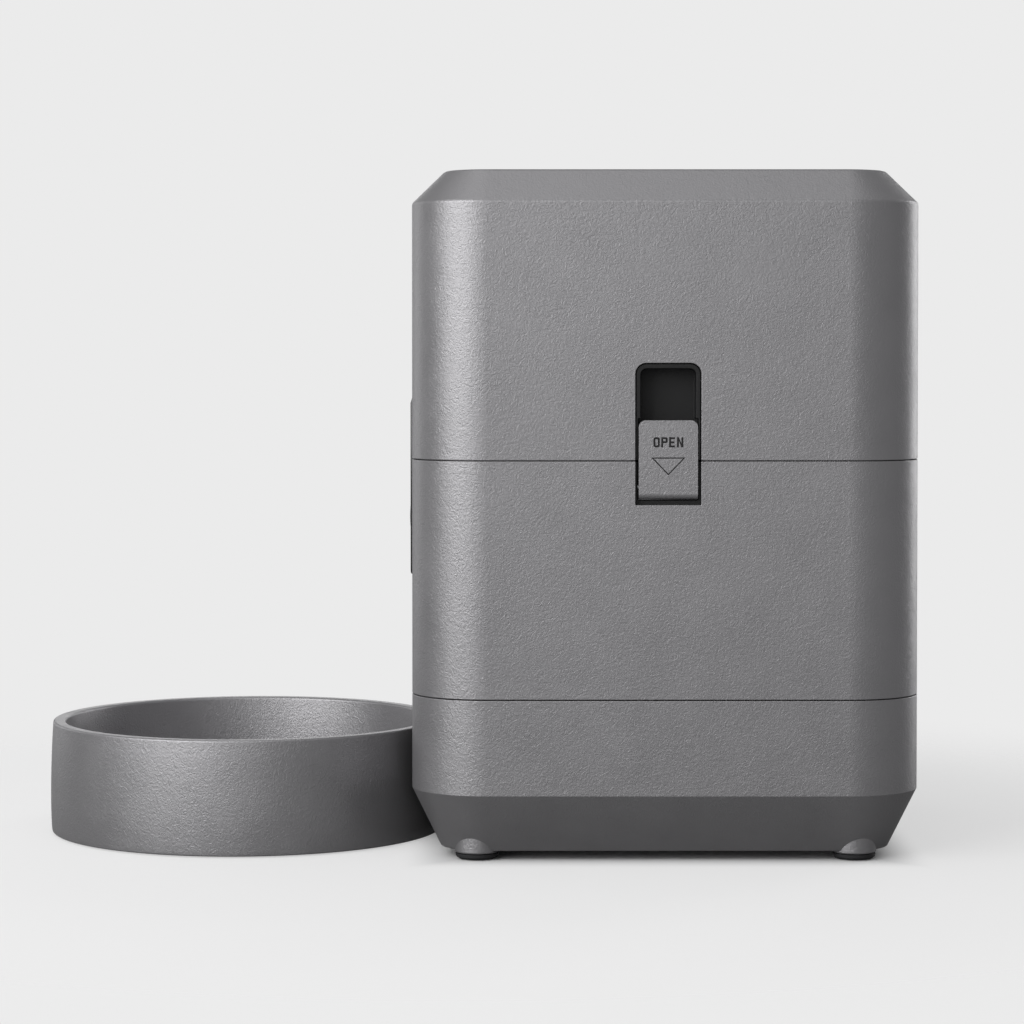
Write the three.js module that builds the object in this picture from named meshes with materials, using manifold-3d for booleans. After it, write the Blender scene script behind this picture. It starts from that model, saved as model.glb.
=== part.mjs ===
// Automatic pet feeder with a lift-off cover, a rotor that measures dry food, and a round bowl.
// Millimetres, +Z up. The control panel and the bowl are towards -Y, the latches are on +X and -X.
// Origin: on the floor, at the middle of the whole set of feeder and bowl.
import * as THREE from "three";
import { mergeVertices } from "three/addons/utils/BufferGeometryUtils.js";
import Module from "manifold-3d";

const wasm = await Module();
wasm.setup();

// ---------------------------------------------------------------- driving dimensions

const GAP = 0.3; // between pieces that touch
const CORNER_STEPS = 8; // facets in a quarter turn of a casing corner

// The casing: a square tower with round corners, chamfered at its foot and its top.
const BODY = { half: 111, corner: 33.3, bottom: 3.8, top: 300, wall: 2.4 };
const TOP_CHAMFER = { inset: 14.5, height: 14.1 };
const FOOT_CHAMFER = { sideInset: 14.7, endInset: 12.6, height: 25.9 };
const OUTSIDE = BODY.half + 10; // past the casing, for cutters
const SEAM = { base: 71.1, cover: 174.1, halfGap: 0.2 }; // heights of the two casing joints
const SKIRT = { outer: 108.1, inner: 106.6, height: 3.2 }; // lip inside each casing joint

// The bowl and the niche that it nests in.
const BOWL = { belly: 91, rim: 89.8, foot: 90.2, height: 51.2, mouth: 84.2, floor: 6, distance: 190 };
const BOWL_RING = { inner: 77, outer: 86.5, height: 0.6 };
const NICHE = { radius: 96.5, height: 56 };

// Feet under the base.
const FOOT = { x: 89.3, y: 82.4, boss: 9.7, bossTop: 12, pad: 9.4, padHeight: 2.3, plug: 4, plugTop: 7.6 };

// Side latches: pocket in the casing side, and the lever that fills its lower part.
const POCKET = { half: 14.15, low: 155.1, high: 216.1, corner: 4.7, floor: 99.5 };
const LEVER = { half: 12.7, low: 157.4, high: 191.5, face: 110.6, pivotX: 105.4, roll: 5.2 };
const LEVER_TOP_CORNER = 3;
const PIN_RADIUS = 1.5;
const LINER_ROOM = { inner: 95, outer: 109, half: 16, low: 152.4, high: 190 }; // behind the casing wall

// Control panel on the front.
const PANEL = { half: 31, low: 119.8, high: 205.9, front: 113.3, back: 102.3, skin: 2.2, rim: 2, slope: 8 };
const PANEL_BOARD = { half: 28, front: 105.9, back: 104.3, inset: 3 };
const WINDOW = { half: 20, low: 186, high: 198.5, thickness: 1.6 };
const LENS = { z: 180.5, radius: 3.3 };
const SET_BUTTON = { z: 169.4, radius: 6.5, proud: 0.35 };
const FEED_BUTTON = { z: 144.9, radius: 9, proud: 0.6 };
const BUTTON_TRAVEL = 1.2;

// Hopper, measuring chamber and rotor.
const HOPPER = { half: 95, corner: 26, wall: 2.2, low: 163, high: 279, funnel: { inset: 21, height: 26 } };
const DECK = { half: 107.8, low: 118, high: 120.6 };
const CHAMBER = { inner: 73.2, outer: 75.6, top: 162.7 };
const ROTOR = { radius: 72.2, rim: 70, hub: 13, low: 121.2, high: 158, pockets: 6, vane: 2.2 };
const STIRRER = { hub: 8, low: 167, hubTop: 176, arm: 52, armTop: 172, prongTop: 184 };
const BAFFLE = { inner: 16, halfAngle: 0.66, clearance: 1.2 };
const SHAFT = { radius: 4, low: 93, high: 182 };
const BORE_RADIUS = SHAFT.radius + GAP;
const OUTLET = { half: 22, front: -69, back: -39 }; // hole in the deck, above the chute
const CHUTE = { half: 28, wall: 2, mouthLow: 76.4, mouthHigh: 109, flat: 104, rise: 76 };
const FOOD_SENSOR = { left: 29, right: 35, front: -92, back: -84, low: 96, high: 106 };

// Gear train, all of one module, so centre distances follow from the teeth.
const GEAR = { module: 1.5, outputTeeth: 36, smallTeeth: 12, largeTeeth: 30, pinionTeeth: 10 };
const LOWER_MESH = { low: 96.5, high: 106.5 };
const UPPER_MESH = { low: 107.5, high: 113.5 };
const IDLER_Y = (GEAR.module * (GEAR.outputTeeth + GEAR.smallTeeth)) / 2;
const MOTOR_X = (GEAR.module * (GEAR.largeTeeth + GEAR.pinionTeeth)) / 2;
const GEARBOX = { left: -32.4, right: 45, front: -32.4, back: 64, corner: 10, low: 92, high: 117.6, wall: 2 };
const IDLER_POST = 2.4;
const MOTOR = { radius: 12.2, low: 62, high: 91.6, shaft: 1.2, shaftLow: 84 };

// Battery bay in the base: three cells side by side.
const CELL = { radius: 16.6, length: 57.5, pitch: 35.2, z: 24.2, front: -19 };
const BAY = { half: 54.5, front: -26, back: 54, wall: 2, high: 46 };
const DOOR = { half: 50, front: -22, back: 50, thickness: 2.4, screwX: 30, screwInset: 3.4 };
const CONTACT = { half: 50, low: 12, high: 36, thickness: 1, front: -22.4, back: 43.4 };
const CASE_SCREW = { x: 84, y: 56, head: 3.5, headHeight: 2.6, shank: 1.5, seat: 58, tip: 78 };
const DOOR_SCREW = { head: 3, headHeight: 1.2, tip: 9.6 };
const PILLAR_RADIUS = 5.6;
const EAR = { half: 6, height: 9, shelf: 98 }; // screw ears and deck shelves inside the side walls

// Boards, speaker and power socket at the back.
const MAIN_BOARD = { left: -22, right: 38, front: 80, thickness: 1.6, low: 74, high: 112 };
const SPEAKER = { x: -45, z: 94, frame: 18, magnet: 10, front: 94, middle: 103.6, back: 106.4 };
const SPEAKER_SLOTS = { count: 5, pitch: 5, width: 2, low: 82, high: 106 };
const SOCKET = { x: 50, z: 88, hole: 5.3, barrel: 5, bore: 3.2, contact: 1, front: 97, flange: 107.6 };

// Lid side: plate, seal and drying agent box under the cover's roof.
const LID = { half: 103, corner: 26, low: 282.7, high: 285, post: 70, postRadius: 4 };
const SEAL = { outer: 97, inner: 90.5, corner: 27, low: 279.3, high: 282.4 };
const DRIER = { x: 30, y: 22, wall: 2, low: 266, high: 282.4 };
const DRIER_SLOTS = { count: 9, pitch: 6, width: 2.4, half: 15 };

// ---------------------------------------------------------------- materials

const GREY_SHELL = { color: 0x86878a, roughness: 0.55, metalness: 0.15 };
const BLACK_PLASTIC = { color: 0x1c1c1e, roughness: 0.55, metalness: 0 };
const GLOSS_BLACK = { color: 0x0f1012, roughness: 0.12, metalness: 0 };
const INNER_GREY = { color: 0x5c5e62, roughness: 0.6, metalness: 0 };
const WHITE_PLASTIC = { color: 0xe4e4e0, roughness: 0.5, metalness: 0 };
const CLEAR_AMBER = { color: 0x6b5a3a, roughness: 0.15, metalness: 0 };
const RUBBER = { color: 0x202123, roughness: 0.85, metalness: 0 };
const SILICONE = { color: 0xd8d8d4, roughness: 0.6, metalness: 0 };
const STEEL = { color: 0xb9bcc0, roughness: 0.3, metalness: 1 };
const CIRCUIT_GREEN = { color: 0x1d5a3a, roughness: 0.45, metalness: 0.1 };
const CELL_WRAP = { color: 0x2d3a4a, roughness: 0.35, metalness: 0.3 };

// ---------------------------------------------------------------- geometry helpers

/** A closed three.js geometry as a manifold solid. */
function solid(geometry) {
  const bare = geometry.clone();
  bare.deleteAttribute("normal");
  bare.deleteAttribute("uv");
  const merged = mergeVertices(bare, 1e-4);
  const index = merged.index.array;
  const triangles = [];
  for (let i = 0; i < index.length; i += 3) {
    const [a, b, c] = index.slice(i, i + 3);
    if (a !== b && b !== c && c !== a) triangles.push(a, b, c);
  }
  const mesh = new wasm.Mesh({
    numProp: 3,
    vertProperties: merged.attributes.position.array,
    triVerts: new Uint32Array(triangles),
  });
  return new wasm.Manifold(mesh);
}

/** A named mesh from a manifold solid, with its own material. */
function piece(name, shape, finish) {
  const mesh = shape.getMesh();
  const geometry = new THREE.BufferGeometry();
  geometry.setAttribute("position", new THREE.BufferAttribute(new Float32Array(mesh.vertProperties), 3));
  geometry.setIndex(new THREE.BufferAttribute(new Uint32Array(mesh.triVerts), 1));
  geometry.computeVertexNormals();
  const made = new THREE.Mesh(geometry, new THREE.MeshStandardMaterial(finish));
  made.name = name;
  return made;
}

/** Joins several solids. */
function join(first, ...others) {
  return others.reduce((whole, next) => whole.add(next), first);
}

/** Cuts several solids from one. */
function cut(first, ...others) {
  return others.reduce((whole, next) => whole.subtract(next), first);
}

/** A box between two x, two y and two z values. */
function box(x0, x1, y0, y1, z0, z1) {
  const geometry = new THREE.BoxGeometry(x1 - x0, y1 - y0, z1 - z0);
  return solid(geometry.translate((x0 + x1) / 2, (y0 + y1) / 2, (z0 + z1) / 2));
}

/** An upright cylinder. */
function cylinderZ(radius, z0, z1, x = 0, y = 0, steps = 24) {
  const geometry = new THREE.CylinderGeometry(radius, radius, z1 - z0, steps);
  return solid(geometry.rotateX(Math.PI / 2).translate(x, y, (z0 + z1) / 2));
}

/** A cylinder along y. */
function cylinderY(radius, y0, y1, x, z, steps = 16) {
  const geometry = new THREE.CylinderGeometry(radius, radius, y1 - y0, steps);
  return solid(geometry.translate(x, (y0 + y1) / 2, z));
}

/** A solid of revolution about z from [radius, z] points that start and end on the axis, or close. */
function lathe(points, steps) {
  const profile = points.map(([r, z]) => new THREE.Vector2(r, z));
  return solid(new THREE.LatheGeometry(profile, steps).rotateX(Math.PI / 2));
}

/** A solid of revolution about y, for what faces the front: [radius, depth behind the panel front]. */
function frontLathe(points, z, steps = 20) {
  const profile = points.map(([r, depth]) => new THREE.Vector2(r, depth - PANEL.front));
  return solid(new THREE.LatheGeometry(profile, steps).translate(0, 0, z));
}

/** Outline of a rectangle with round corners. */
function roundedRect(halfX, halfY, corner, steps = CORNER_STEPS) {
  const points = [];
  for (let quarter = 0; quarter < 4; quarter += 1) {
    const cx = (halfX - corner) * (quarter === 0 || quarter === 3 ? 1 : -1);
    const cy = (halfY - corner) * (quarter < 2 ? 1 : -1);
    for (let i = 0; i <= steps; i += 1) {
      const angle = ((quarter + i / steps) * Math.PI) / 2;
      points.push(new THREE.Vector2(cx + corner * Math.cos(angle), cy + corner * Math.sin(angle)));
    }
  }
  return new THREE.Shape(points);
}

/** An outline pushed up from z0 to z1. */
function prism(shape, z0, z1) {
  const geometry = new THREE.ExtrudeGeometry(shape, { depth: z1 - z0, bevelEnabled: false });
  return solid(geometry.translate(0, 0, z0));
}

/** A [y, z] outline pushed along x, centred on x = 0. */
function sidePrism(points, half) {
  const shape = new THREE.Shape(points.map(([y, z]) => new THREE.Vector2(y, z)));
  const geometry = new THREE.ExtrudeGeometry(shape, { depth: 2 * half, bevelEnabled: false });
  const turn = new THREE.Matrix4().set(0, 0, 1, -half, 1, 0, 0, 0, 0, 1, 0, 0, 0, 0, 0, 1);
  return solid(geometry.applyMatrix4(turn));
}

/** An [x, z] outline pushed along y, centred on y = 0. */
function frontPrism(points, half) {
  const shape = new THREE.Shape(points.map(([x, z]) => new THREE.Vector2(x, z)));
  const geometry = new THREE.ExtrudeGeometry(shape, { depth: 2 * half, bevelEnabled: false });
  return solid(geometry.rotateX(Math.PI / 2).translate(0, half, 0));
}

/** A rounded square block whose two ends have the same chamfer. */
function chamferedBlock(half, corner, z0, z1, { inset, height }) {
  const geometry = new THREE.ExtrudeGeometry(roundedRect(half, half, corner), {
    depth: z1 - z0 - 2 * height,
    bevelEnabled: true,
    bevelSegments: 1,
    bevelSize: inset,
    bevelOffset: -inset,
    bevelThickness: height,
  });
  return solid(geometry.translate(0, 0, z0 + height));
}

/** A solid between two outlines of as many points, the first at z0 and the second at z1. */
function loft(bottom, top, z0, z1) {
  const lower = bottom.getPoints().map(({ x, y }) => new THREE.Vector3(x, y, z0));
  const upper = top.getPoints().map(({ x, y }) => new THREE.Vector3(x, y, z1));
  const points = [];
  for (let i = 0; i < lower.length; i += 1) {
    const j = (i + 1) % lower.length;
    points.push(lower[i], lower[j], upper[j], lower[i], upper[j], upper[i]);
    if (i > 0 && j > 0) points.push(lower[0], lower[j], lower[i], upper[0], upper[i], upper[j]);
  }
  return solid(new THREE.BufferGeometry().setFromPoints(points));
}

/** A spur gear outline with straight-sided teeth, and a round bore. */
function gearShape(teeth, bore, phase) {
  const pitch = (GEAR.module * teeth) / 2;
  const tip = pitch + 0.9 * GEAR.module;
  const root = pitch - 1.2 * GEAR.module;
  const flank = [[-0.33, root], [-0.11, tip], [0.11, tip], [0.33, root]];
  const points = [];
  for (let tooth = 0; tooth < teeth; tooth += 1) {
    for (const [offset, radius] of flank) {
      const angle = phase + ((tooth + offset) * 2 * Math.PI) / teeth;
      points.push(new THREE.Vector2(radius * Math.cos(angle), radius * Math.sin(angle)));
    }
  }
  const shape = new THREE.Shape(points);
  shape.holes.push(circlePath(bore, 16));
  return shape;
}

/** A closed circle of straight steps. */
function circlePath(radius, steps) {
  const points = [];
  for (let i = 0; i < steps; i += 1) {
    const angle = (i * 2 * Math.PI) / steps;
    points.push(new THREE.Vector2(radius * Math.cos(angle), radius * Math.sin(angle)));
  }
  return new THREE.Path(points);
}

/** Outline of a ring's sector between two radii, its sides held back from the spokes by a distance. */
function sectorPoints(inner, outer, middle, halfAngle, setback, steps = 6) {
  const points = [];
  for (const [radius, way] of [[outer, 1], [inner, -1]]) {
    const half = halfAngle - Math.asin(setback / radius);
    for (let i = 0; i <= steps; i += 1) {
      const angle = middle + way * half * ((2 * i) / steps - 1);
      points.push(new THREE.Vector2(radius * Math.cos(angle), radius * Math.sin(angle)));
    }
  }
  return points;
}

/** The whole casing as one block, shrunk by a distance on every side. */
function casingBlock(shrink) {
  const half = BODY.half - shrink;
  const corner = BODY.corner - shrink;
  const beyond = 150;
  const low = BODY.bottom + shrink;
  const high = BODY.top - shrink;
  const upper = chamferedBlock(half, corner, low - beyond, high, TOP_CHAMFER);
  const { sideInset, endInset, height } = FOOT_CHAMFER;
  const footCorner = corner - (sideInset + endInset) / 2;
  const foot = roundedRect(half - sideInset, half - endInset, footCorner);
  const wall = roundedRect(half, half, corner);
  return upper.intersect(join(loft(foot, wall, low, low + height), prism(wall, low + height, high)));
}

/** A slab that takes everything between two heights. */
function slab(z0, z1) {
  return box(-200, 200, -200, 200, z0, z1);
}

/** The inner lip that stands up from a casing joint into the piece above. */
function skirt(z0) {
  const ring = roundedRect(SKIRT.outer, SKIRT.outer, BODY.corner - (BODY.half - SKIRT.outer));
  ring.holes.push(roundedRect(SKIRT.inner, SKIRT.inner, BODY.corner - (BODY.half - SKIRT.inner)));
  const root = z0 - 4;
  const web = roundedRect(BODY.half - 1, BODY.half - 1, BODY.corner - 1);
  web.holes.push(roundedRect(SKIRT.inner, SKIRT.inner, BODY.corner - (BODY.half - SKIRT.inner)));
  return join(prism(ring, root, z0 + SKIRT.height), prism(web, root, z0 - 1));
}

// ---------------------------------------------------------------- casing shells

/** Cutter for both latch pockets through the casing sides, with round upper corners. */
function latchPockets() {
  const { half, low, high, corner } = POCKET;
  const z = (low + high) / 2;
  const outline = roundedRect(half, (high - low) / 2, corner, 5);
  const geometry = new THREE.ExtrudeGeometry(outline, { depth: 2 * OUTSIDE, bevelEnabled: false });
  const round = solid(geometry.rotateY(Math.PI / 2).rotateX(Math.PI / 2).translate(-OUTSIDE, 0, z));
  const square = box(-OUTSIDE, OUTSIDE, -half, half, low, z);
  const inside = box(-LINER_ROOM.inner, LINER_ROOM.inner, -half - 1, half + 1, low - 1, high + 1);
  return join(round, square).subtract(inside);
}

/** Cutter for the control panel's seat through the front wall. */
function panelSeat() {
  const half = PANEL.half + GAP;
  return box(-half, half, -OUTSIDE, -SKIRT.inner + 1, PANEL.low - GAP, PANEL.high + GAP);
}

/** The hood that lifts off: roof, upper walls and the posts that carry the lid plate. */
function topCover() {
  const low = SEAM.cover + SEAM.halfGap;
  let shell = casingBlock(0).subtract(casingBlock(BODY.wall)).intersect(slab(low, BODY.top + 1));
  for (const x of [-LID.post, LID.post]) {
    for (const y of [-LID.post, LID.post]) {
      shell = shell.add(cylinderZ(LID.postRadius, LID.high + GAP, BODY.top - 1, x, y, 12));
    }
  }
  return cut(shell, latchPockets(), panelSeat());
}

/** A box given for the +X side, with its mirror image on the -X side. */
function bothSides(x0, x1, y0, y1, z0, z1) {
  return join(box(x0, x1, y0, y1, z0, z1), box(-x1, -x0, y0, y1, z0, z1));
}

/** Screw ears and deck shelves inside the side walls, over the screw pillars. */
function wallShelves(low) {
  const inside = BODY.half - 1;
  const shelves = [];
  for (const y of [-CASE_SCREW.y, CASE_SCREW.y]) {
    let ears = bothSides(CASE_SCREW.x - EAR.half, inside, y - EAR.half, y + EAR.half, low, low + EAR.height);
    for (const x of [-CASE_SCREW.x, CASE_SCREW.x]) {
      ears = ears.subtract(cylinderZ(CASE_SCREW.shank + GAP, low - 1, low + EAR.height - 1, x, y, 8));
    }
    const shelfTop = DECK.low - GAP;
    shelves.push(ears, bothSides(EAR.shelf, inside, y - EAR.half, y + EAR.half, shelfTop - 5.7, shelfTop));
  }
  return shelves;
}

/** Cutters for the speaker's slots and the socket's hole in the back wall. */
function backOpenings() {
  const { count, pitch, width, low, high } = SPEAKER_SLOTS;
  const cutters = [cylinderY(SOCKET.hole, BODY.half - 11, OUTSIDE, SOCKET.x, SOCKET.z, 20)];
  for (let i = 0; i < count; i += 1) {
    const x = SPEAKER.x + (i - (count - 1) / 2) * pitch;
    cutters.push(box(x - width / 2, x + width / 2, BODY.half - 11, OUTSIDE, low, high));
  }
  return cutters;
}

/** The middle casing, which carries the deck, the latches and the control panel. */
function mainHousing() {
  const low = SEAM.base + SEAM.halfGap;
  const high = SEAM.cover - SEAM.halfGap;
  const walls = casingBlock(0).subtract(casingBlock(BODY.wall)).intersect(slab(low, high));
  const shell = join(walls, skirt(high), ...wallShelves(low));
  const liner = LINER_ROOM;
  const linerRoom = bothSides(liner.inner, liner.outer, -liner.half, liner.half, liner.low, liner.high);
  const mouthHalf = CHUTE.half + GAP;
  const mouthLow = CHUTE.mouthLow - CHUTE.wall - GAP;
  const mouth = box(-mouthHalf, mouthHalf, -OUTSIDE, 11 - BODY.half, mouthLow, CHUTE.mouthHigh + GAP);
  return cut(shell, latchPockets(), linerRoom, panelSeat(), mouth, ...backOpenings());
}

/** The base: chamfered foot, niche for the bowl, foot bosses, battery bay and screw pillars. */
function baseHousing() {
  const high = SEAM.base - SEAM.halfGap;
  const nicheOuter = cylinderZ(NICHE.radius, -1, NICHE.height, 0, -BOWL.distance, 64);
  const nicheWall = cylinderZ(NICHE.radius + BODY.wall, -1, NICHE.height + BODY.wall, 0, -BOWL.distance, 64);
  const outer = casingBlock(0).subtract(nicheOuter);
  const inner = casingBlock(BODY.wall).subtract(nicheWall);
  let shell = outer.subtract(inner).intersect(slab(BODY.bottom - 1, high));
  const chuteRoom = box(-CHUTE.half - 1, CHUTE.half + 1, -OUTSIDE, -95, high - GAP, high + EAR.height);
  const earHalf = EAR.half + 0.5;
  const earRoom = [-CASE_SCREW.y, CASE_SCREW.y].map((y) =>
    box(-OUTSIDE, OUTSIDE, y - earHalf, y + earHalf, high - 0.2, high + EAR.height));
  shell = shell.add(cut(skirt(high), chuteRoom, ...earRoom));
  const bay = box(-BAY.half, BAY.half, BAY.front, BAY.back, BODY.bottom + 1, BAY.high);
  const bayHalf = BAY.half - BAY.wall;
  const bayInside = box(-bayHalf, bayHalf, BAY.front + BAY.wall, BAY.back - BAY.wall, 0, BAY.high + 1);
  const doorHalf = DOOR.half + GAP;
  const doorway = box(-doorHalf, doorHalf, DOOR.front - GAP, DOOR.back + GAP, 0, 12);
  shell = shell.add(bay.subtract(bayInside)).subtract(doorway);
  for (const x of [-FOOT.x, FOOT.x]) {
    for (const y of [-FOOT.y, FOOT.y]) {
      shell = shell.add(cylinderZ(FOOT.boss, FOOT.padHeight + GAP, FOOT.bossTop, x, y, 24));
      shell = shell.subtract(cylinderZ(FOOT.plug + GAP, 0, FOOT.plugTop + GAP, x, y, 12));
    }
  }
  for (const x of [-CASE_SCREW.x, CASE_SCREW.x]) {
    for (const y of [-CASE_SCREW.y, CASE_SCREW.y]) {
      const pillar = cylinderZ(PILLAR_RADIUS, BODY.bottom + 1, high, x, y, 12);
      const wide = cylinderZ(CASE_SCREW.head + GAP, 0, CASE_SCREW.seat, x, y, 12);
      const narrow = cylinderZ(CASE_SCREW.shank + GAP, 0, high + 1, x, y, 8);
      shell = cut(shell.add(pillar), wide, narrow);
    }
  }
  return join(shell, doorLedge(-DOOR.screwX), doorLedge(DOOR.screwX));
}

/** The ledge over the bay opening that a door screw threads into. */
function doorLedge(x) {
  const low = BODY.bottom + DOOR.thickness + 0.4;
  const ledge = box(x - 6, x + 6, DOOR.back - 7, BAY.back - 1, low, 10);
  return ledge.subtract(cylinderZ(PIN_RADIUS + GAP, low - 1, 11, x, DOOR.back - DOOR.screwInset, 12));
}

/** The battery bay's door, flush with the underside. */
function batteryDoor() {
  const top = BODY.bottom + DOOR.thickness;
  const plate = box(-DOOR.half, DOOR.half, DOOR.front, DOOR.back, BODY.bottom, top);
  const holes = [-DOOR.screwX, DOOR.screwX].map((x) =>
    cylinderZ(PIN_RADIUS + GAP, 0, 9, x, DOOR.back - DOOR.screwInset, 12));
  const ribs = [-1, 0, 1].map((i) => box(-20, 20, -8 + i * 5, -6.5 + i * 5, top - 0.2, top + 0.4));
  return cut(join(plate, ...ribs), ...holes);
}

/** A rubber foot: a flat pad with a rounded lower edge and a plug in the boss. */
function footPad() {
  const { pad, padHeight, plug, plugTop } = FOOT;
  return lathe([[0, 0], [pad - 0.9, 0], [pad - 0.2, 0.4], [pad, 1], [pad, padHeight], [plug, padHeight],
    [plug, plugTop], [0, plugTop]], 16);
}

// ---------------------------------------------------------------- side latch, drawn on the +X side

const PIVOT_Z = LEVER.low + LEVER.roll;
const CATCH = { outer: 100.9, half: 6, low: 176, high: 180 };
const HOOK = { reach: 101.3, half: 5.5, low: 180.6, shoulder: 183.4, root: 186 };
const RECESS = { half: 13, outer: 15.5, step: 11.9, lip: 110.2, behindWall: 108.2, stepLow: 192.3 };

/** Cutter for the hinge pin's hole. */
function pinHole() {
  return cylinderY(PIN_RADIUS + GAP, -20, 20, LEVER.pivotX, PIVOT_Z, 12);
}

/** The dark liner of the pocket's upper part, with a narrower finger recess and the catch for the hook. */
function upperRecess() {
  const low = SEAM.cover + GAP;
  const block = box(POCKET.floor - 2, RECESS.behindWall, -RECESS.outer, RECESS.outer, low, POCKET.high + 2);
  const lip = sideTongue(POCKET.half - GAP, low, POCKET.high - GAP, POCKET.corner - GAP, RECESS.lip);
  const finger = sideTongue(RECESS.step, RECESS.stepLow - 1, POCKET.high - 2.4, 2.6, OUTSIDE);
  const leverRoom = box(POCKET.floor, OUTSIDE, -RECESS.half, RECESS.half, low - 1, RECESS.stepLow);
  const hollow = finger.intersect(box(POCKET.floor, OUTSIDE, -RECESS.half, RECESS.half, low, POCKET.high));
  const trimmed = cut(join(block, lip), hollow, leverRoom);
  return trimmed.add(box(POCKET.floor - 1, CATCH.outer, -CATCH.half, CATCH.half, CATCH.low, CATCH.high));
}

/** A block with round upper corners that reaches from behind the casing wall out to a given x. */
function sideTongue(half, low, high, corner, outer) {
  const z = (low + high) / 2;
  const outline = roundedRect(half, (high - low) / 2, corner, 5);
  const start = POCKET.floor - 1;
  const geometry = new THREE.ExtrudeGeometry(outline, { depth: outer - start, bevelEnabled: false });
  const round = solid(geometry.rotateY(Math.PI / 2).rotateX(Math.PI / 2).translate(start, 0, z));
  return round.add(box(start, outer, -half, half, low, z));
}

/** The dark liner of the pocket's lower part, whose side walls hold the hinge pin. */
function lowerRecess() {
  const high = SEAM.cover - GAP;
  const low = POCKET.low + GAP;
  const block = box(POCKET.floor - 2, RECESS.behindWall, -RECESS.outer, RECESS.outer, low - 2, high);
  const lip = box(RECESS.behindWall - 1, RECESS.lip, GAP - POCKET.half, POCKET.half - GAP, low, high);
  const hollow = box(POCKET.floor, OUTSIDE, -RECESS.half, RECESS.half, LEVER.low - GAP, high + 1);
  return cut(join(block, lip), hollow, pinHole());
}

/** The lever: a face plate that rolls in around its pin, with a hook behind its upper half. */
function latchLever() {
  const back = LEVER.face - 3.5;
  const outline = [];
  const steps = 12;
  for (let i = 0; i <= steps; i += 1) {
    const angle = -Math.PI + (i / steps) * Math.PI;
    outline.push([LEVER.pivotX + LEVER.roll * Math.cos(angle), PIVOT_Z + LEVER.roll * Math.sin(angle)]);
  }
  outline.push([LEVER.face, LEVER.high - 1], [LEVER.face - 1, LEVER.high], [back, LEVER.high]);
  outline.push([back, HOOK.root], [HOOK.reach, HOOK.shoulder], [HOOK.reach, HOOK.low], [back, HOOK.low]);
  outline.push([back, PIVOT_Z + 6], [LEVER.pivotX - 2, PIVOT_Z + 4.6]);
  const plate = frontPrism(outline, LEVER.half);
  const rounded = sideTongue(LEVER.half, LEVER.low - 1, LEVER.high, LEVER_TOP_CORNER, OUTSIDE);
  const behind = [POCKET.floor, back];
  const besideHook = [[-RECESS.half, -HOOK.half], [HOOK.half, RECESS.half]].map(([y0, y1]) =>
    box(...behind, y0, y1, PIVOT_Z + 7, LEVER.high + 1));
  const springRoom = join(cylinderY(3.7, -4, 4, LEVER.pivotX, PIVOT_Z, 16),
    box(POCKET.floor, LEVER.pivotX, -4, 4, PIVOT_Z - 3.5, PIVOT_Z + 3.5));
  return cut(plate.intersect(rounded), ...besideHook, pinHole(), springRoom);
}

/** The centre line of a torsion spring's coil about the hinge pin. */
class CoilLine extends THREE.Curve {
  getPoint(t) {
    const turns = 3;
    const angle = 2 * Math.PI * turns * t;
    const radius = 2.8;
    return new THREE.Vector3(radius * Math.cos(angle), (t - 0.5) * 6, radius * Math.sin(angle));
  }
}

/** The torsion spring that swings the lever shut. */
function latchSpring() {
  const wire = new THREE.Shape(circlePath(0.4, 5).getPoints());
  const path = new CoilLine();
  const geometry = new THREE.ExtrudeGeometry(wire, { steps: 32, extrudePath: path, bevelEnabled: false });
  return solid(geometry.translate(LEVER.pivotX, 0, PIVOT_Z));
}

/** One side's latch pieces; the other side is the same set turned half round. */
function latchSet(side) {
  const group = new THREE.Group();
  const pin = cylinderY(PIN_RADIUS, -15, 15, LEVER.pivotX, PIVOT_Z, 12);
  group.add(piece("latch_recess_upper_" + side, upperRecess(), BLACK_PLASTIC));
  group.add(piece("latch_recess_lower_" + side, lowerRecess(), BLACK_PLASTIC));
  group.add(piece("latch_lever_" + side, latchLever(), GREY_SHELL));
  group.add(piece("latch_pin_" + side, pin, STEEL));
  group.add(piece("latch_spring_" + side, latchSpring(), STEEL));
  return group;
}

// ---------------------------------------------------------------- control panel on the front

/** The glossy cap of the panel: a shallow tray with a window, a lens hole and two button holes. */
function panelBezel() {
  const { half, low, high, front, back, skin, rim, slope } = PANEL;
  const tray = box(-half, half, -front, -back, low, high);
  const inside = box(rim - half, half - rim, skin - front, 0, low + rim, high - rim);
  const pane = WINDOW.half + GAP;
  const window = box(-pane, pane, -OUTSIDE, -back, WINDOW.low - GAP, WINDOW.high + GAP);
  const holes = [LENS, SET_BUTTON, FEED_BUTTON].map(({ radius, z }) =>
    cylinderY(radius + GAP, -OUTSIDE, -back, 0, z, 24));
  const topEdge = [[-front - 1, high - slope - 1], [-front - 1, high + 1], [-front + 2.6, high + 1],
    [-front, high - slope]];
  return cut(tray, inside, window, ...holes, sidePrism(topEdge, half + 1));
}

/** A push button: crowned cap, flange behind the bezel, and a stem that ends short of its switch. */
function pushButton({ z, radius, proud }) {
  const flange = PANEL.skin + GAP + 1.2;
  return frontLathe([[0, -proud], [radius * 0.4, -proud * 0.84], [radius * 0.75, -proud * 0.4],
    [radius - 0.3, 0], [radius, 0.4], [radius, PANEL.skin + GAP], [radius + 1.2, PANEL.skin + GAP],
    [radius + 1.2, flange], [1.6, flange], [1.6, flange + 0.6], [0, flange + 0.6]], z);
}

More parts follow.
